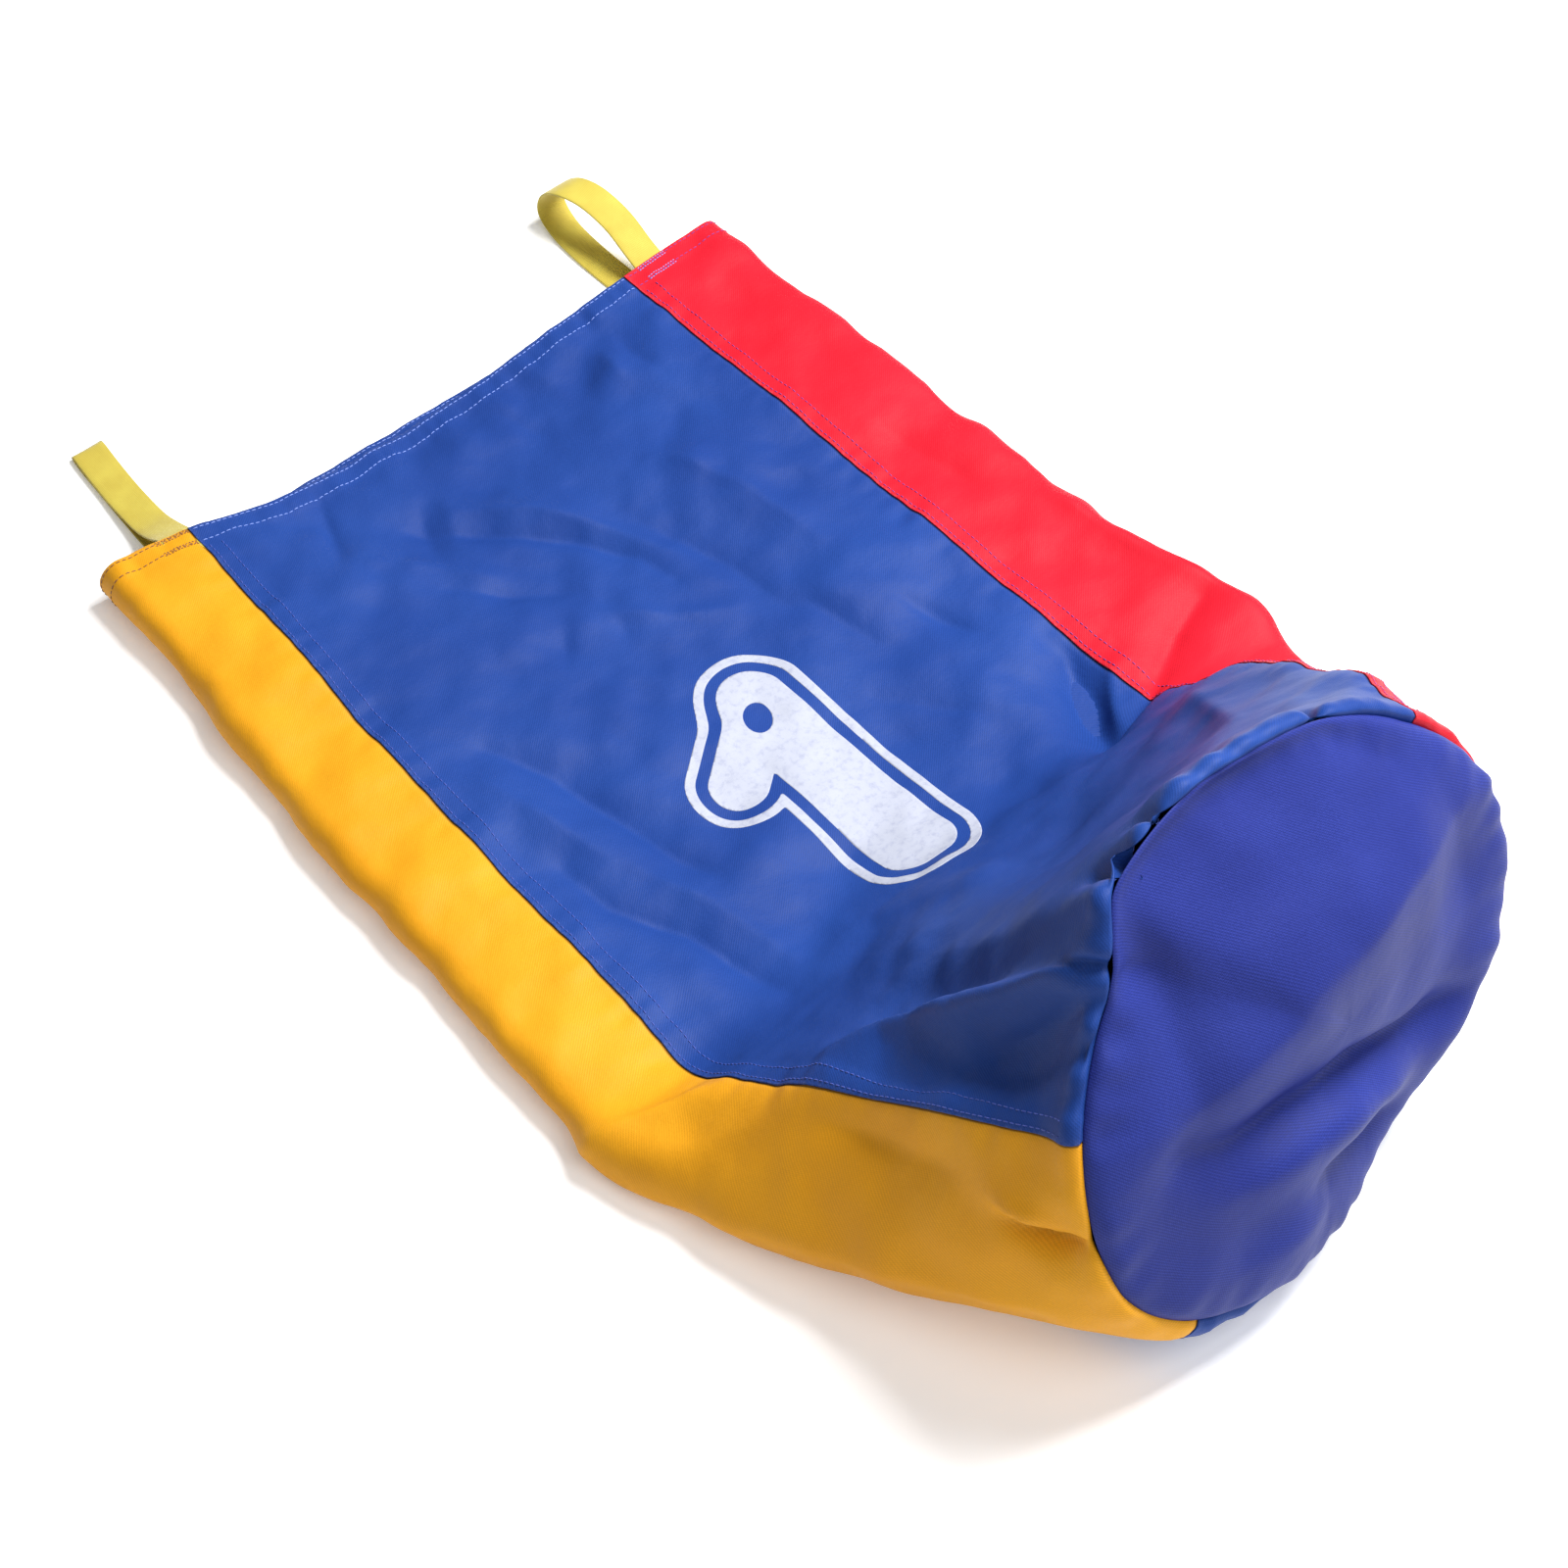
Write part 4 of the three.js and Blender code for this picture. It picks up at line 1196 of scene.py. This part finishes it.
def make_print(name, shape, material):
    """The part of the front panel where shape is negative, as a thin closed film."""
    us = steps_between(-105, 90, INK_CELL)
    ss = steps_between(240, 460, INK_CELL)
    u, s = np.meshgrid(us, ss, indexing="ij")
    plan = sampled(u, s)[0]
    f = shape(plan[..., 0], plan[..., 1])
    f = np.where(np.abs(f) < 1e-3, 1e-3, f)
    flat, polygons, index = [], [], {}

    def corner(i, j):
        if (i, j) not in index:
            index[(i, j)] = len(flat)
            flat.append((us[i], ss[j]))
        return index[(i, j)]

    def crossing(a, b):
        a, b = sorted((a, b))
        key = (a, b)
        if key not in index:
            t = f[a] / (f[a] - f[b])
            index[key] = len(flat)
            flat.append((lerp(us[a[0]], us[b[0]], t), lerp(ss[a[1]], ss[b[1]], t)))
        return index[key]

    touched = (f[:-1, :-1] < 0) | (f[1:, :-1] < 0) | (f[1:, 1:] < 0) | (f[:-1, 1:] < 0)
    for i, j in np.argwhere(touched):
        ring = [(i, j), (i, j + 1), (i + 1, j + 1), (i + 1, j)]
        polygon = []
        for a, b in zip(ring, ring[1:] + ring[:1]):
            if f[a] < 0:
                polygon.append(corner(*a))
            if (f[a] < 0) != (f[b] < 0):
                polygon.append(crossing(a, b))
        polygons.append(polygon)
    flat = np.array(flat)
    point, normal = sampled(flat[:, 0], flat[:, 1])
    height = outer_height(PANELS["front"], flat[:, 0], flat[:, 1]) + INK_LIFT
    outer = point + height[:, None] * normal
    inner = outer - INK_DEPTH * normal
    count = len(flat)
    edges = {}
    for polygon in polygons:
        for a, b in zip(polygon, polygon[1:] + polygon[:1]):
            edges[(a, b)] = True
    faces = [tuple(p) for p in polygons] + [tuple(i + count for i in reversed(p)) for p in polygons]
    faces += [(b, a, a + count, b + count) for a, b in edges if (b, a) not in edges]
    return make_mesh(name, np.concatenate([outer, inner]), faces, np.concatenate([flat, flat]), material)


settle(make_print("number_fill_print", fill_shape, INK_LOOK), "print_ink", "number_fill")
settle(make_print("number_outline_print", outline_shape, INK_LOOK), "print_ink", "number_outline")


# Handles: one strap each, sewn inside the hem at both ends, at upper and lower round the girth. Routes
# outside the mouth are (x, y from the middle of the CAD loop, z).
STRAP_THICK = 1.3
STRAP_SEWN = 22.0
STRAP_CLEARANCE = 0.08
STRAP_FLOOR_GAP = 0.03
STRAP_WAVE = 0.25
STRAP_WAVE_LENGTH = 9.0
HANDLES = {
    "left": dict(
        upper=-169.0, lower=-285.0,
        route=[
            (-12, -3, 14), (-28, -2, 8), (-52, 0, 5), (-80, 3, 4.2), (-95, 5, 3.8),
            (-99, 5.5, 2.5), (-95, 5, 1.2), (-80, 3, 1.1), (-44, 0, 1.1), (-16, -2, 1.1),
        ],
    ),
    "right": dict(
        upper=181.0, lower=312.0,
        route=[
            (-12, 9, 17), (-30, 9, 25), (-50, 6, 31), (-66, 2, 31), (-77, 0, 24),
            (-80.6, -1, 14), (-77, -2, 6.5), (-62, -4, 2), (-40, -5.5, 1.1), (-14, -5.5, 1.1),
        ],
    ),
}
# One face of the flat tape, from edge to edge; the other face is its mirror image.
TAPE_FACE = np.array([
    (-10.0, 0.0), (-9.85, 0.42), (-9.3, 0.62), (-6.0, 0.65), (-2.0, 0.65),
    (2.0, 0.65), (6.0, 0.65), (9.3, 0.62), (9.85, 0.42),
])
PROFILE = np.concatenate([TAPE_FACE, -TAPE_FACE])


def panel_of(u):
    u = wrap(u)
    for panel in PANELS.values():
        start = panel["start"]
        end = start + panel["width"]
        if start <= u < end or start <= u + GIRTH < end:
            return panel
    raise ValueError(u)


def strap_end(u):
    """The strap's centre and width direction under the hem, from its inner end to the mouth."""
    s = np.array([STRAP_SEWN, 16.5, 11.0, 5.5, 0.0])
    uu = np.full_like(s, u)
    point, normal = sampled(uu, s)
    panel = panel_of(u)
    inside = outer_height(panel, uu, s) - HEM_THICK - STRAP_THICK / 2 - STRAP_CLEARANCE
    around = sampled(uu + 5, s)[0] - sampled(uu - 5, s)[0]
    around *= np.sign(around[:, 1:2])
    return point + inside[:, None] * normal, around / np.linalg.norm(around, axis=1, keepdims=True)


def smooth_path(points, spacing):
    """Catmull-Rom through the points, at an even spacing; columns after the third are carried along."""
    padded = np.concatenate([[2 * points[0] - points[1]], points, [2 * points[-1] - points[-2]]])
    dense = []
    for i in range(1, len(padded) - 2):
        for t in np.linspace(0, 1, 12, endpoint=False):
            w = cubic_weights(np.array(t))
            dense.append(sum(w[k] * padded[i - 1 + k] for k in range(4)))
    dense = np.array(dense + [padded[-2]])
    done = np.concatenate([[0], np.cumsum(np.linalg.norm(np.diff(dense[:, :3], axis=0), axis=1))])
    even = np.linspace(0, done[-1], max(2, round(done[-1] / spacing)))
    return np.stack([np.interp(even, done, column) for column in dense.T], -1), even


def make_strap(side, handle):
    upper, upper_width = strap_end(handle["upper"])
    lower, lower_width = strap_end(handle["lower"])
    low, high = np.array(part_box(side + "_handle_loop")) / MM - SHIFT
    centre_y = (low[1] + high[1]) / 2
    route = np.array(handle["route"], float) + (0, centre_y, 0)
    turn = np.linspace(0, math.pi, len(route))
    lean = np.zeros_like(route)
    lean[:, 1] = 1.0
    lean[:, 2] = 0.05 * np.sin(2 * turn)
    points = np.concatenate([upper, route, lower[::-1]])
    widths = np.concatenate([upper_width, lean, lower_width[::-1]])
    path, along = smooth_path(np.concatenate([points, widths], 1), 1.5)
    centre, across = path[:, :3], path[:, 3:]
    ahead = np.gradient(centre, axis=0)
    ahead /= np.linalg.norm(ahead, axis=1, keepdims=True)
    across -= (across * ahead).sum(1, keepdims=True) * ahead
    across /= np.linalg.norm(across, axis=1, keepdims=True)
    up = np.cross(across, ahead)
    wave = STRAP_WAVE * np.sin(along / STRAP_WAVE_LENGTH)[:, None]
    rings = (
        centre[:, None] + PROFILE[None, :, :1] * across[:, None]
        + (PROFILE[None, :, 1:] + wave[:, None] * (PROFILE[None, :, :1] / 10) ** 2) * up[:, None]
    )
    count, around = rings.shape[:2]
    points = rings.reshape(-1, 3)
    points[:, 2] = np.maximum(points[:, 2], STRAP_FLOOR_GAP)
    uvs = np.stack(np.broadcast_arrays(PROFILE[None, :, 0], along[:, None]), -1).reshape(-1, 2)
    index = np.arange(count * around).reshape(count, around)
    following = np.roll(index, -1, 1)
    faces = np.stack([index[:-1], index[1:], following[1:], following[:-1]], -1).reshape(-1, 4).tolist()
    faces += [index[0].tolist(), index[-1][::-1].tolist()]
    return make_mesh(side + "_handle_strap", points, faces, uvs, WEBBING_LOOK)


for side, handle in HANDLES.items():
    strap = make_strap(side, handle)
    low, high = np.array(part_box(side + "_handle_loop"))
    middle = (low + high) / 2
    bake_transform(strap)
    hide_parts(*(f"{side}_handle_{part}" for part in ("upper_end", "lower_end", "loop")))


# Floor, light and camera.
FLOOR_SIZE = 14.0
CAMERA_TARGET = np.array([370.5, -48.4, 56.0])
CAMERA_AZIMUTH = math.radians(49)
CAMERA_ELEVATION = math.radians(51)
CAMERA_DISTANCE = 1.861
CAMERA_LENS = 85.5
FLOOR_GLOW = 0.22
WORLD_LIGHT = 0.18
KEY_LIGHT = dict(energy=88.0, size=(0.95, 0.95), at=(0.2, 1.05, 1.85), aim=(0.05, 0.0, 0.05))
SIDE_LIGHT = dict(energy=18.0, size=(1.2, 1.2), at=(1.35, -0.1, 1.8), aim=(0.2, 0.0, 0.1))


def floor_plane():
    half = FLOOR_SIZE / 2
    mesh = bpy.data.meshes.new("floor")
    corners = [(-half, -half, 0), (half, -half, 0), (half, half, 0), (-half, half, 0)]
    mesh.from_pydata(corners, [], [(0, 1, 2, 3)])
    obj = bpy.data.objects.new("floor", mesh)
    bpy.context.collection.objects.link(obj)
    n = Nodes("pale_floor")
    n.shader.inputs["Base Color"].default_value = (0.93, 0.93, 0.935, 1)
    n.shader.inputs["Roughness"].default_value = 0.9
    n.shader.inputs["Specular IOR Level"].default_value = 0.1
    n.shader.inputs["Emission Color"].default_value = (1, 1, 1, 1)
    n.shader.inputs["Emission Strength"].default_value = FLOOR_GLOW
    mesh.materials.append(n.material)
    return obj


def area_light(name, energy, size, at, aim):
    light = bpy.data.lights.new(name, "AREA")
    light.shape = "RECTANGLE"
    light.size, light.size_y = size
    light.energy = energy
    obj = bpy.data.objects.new(name, light)
    obj.location = at
    obj.rotation_euler = (Vector(aim) - Vector(at)).to_track_quat("-Z", "Y").to_euler()
    bpy.context.collection.objects.link(obj)


floor = floor_plane()

world = bpy.data.worlds.new("studio")
world.use_nodes = True
world.node_tree.nodes["Background"].inputs[0].default_value = (1, 1, 1, 1)
world.node_tree.nodes["Background"].inputs[1].default_value = WORLD_LIGHT
bpy.context.scene.world = world
area_light("key_softbox", **KEY_LIGHT)
area_light("side_softbox", **SIDE_LIGHT)
bpy.context.scene.view_settings.view_transform = "Standard"
bpy.context.scene.view_settings.look = "None"

back = Vector((
    math.sin(CAMERA_AZIMUTH) * math.cos(CAMERA_ELEVATION),
    -math.cos(CAMERA_AZIMUTH) * math.cos(CAMERA_ELEVATION),
    math.sin(CAMERA_ELEVATION),
))
camera_data = bpy.data.cameras.new("camera")
camera_data.lens = CAMERA_LENS
camera_data.sensor_width = 36.0
camera = bpy.data.objects.new("camera", camera_data)
camera.location = Vector(to_frame(CAMERA_TARGET)) + CAMERA_DISTANCE * back
camera.rotation_euler = back.to_track_quat("Z", "Y").to_euler()
bpy.context.collection.objects.link(camera)
bpy.context.scene.camera = camera

bpy.context.view_layer.update()
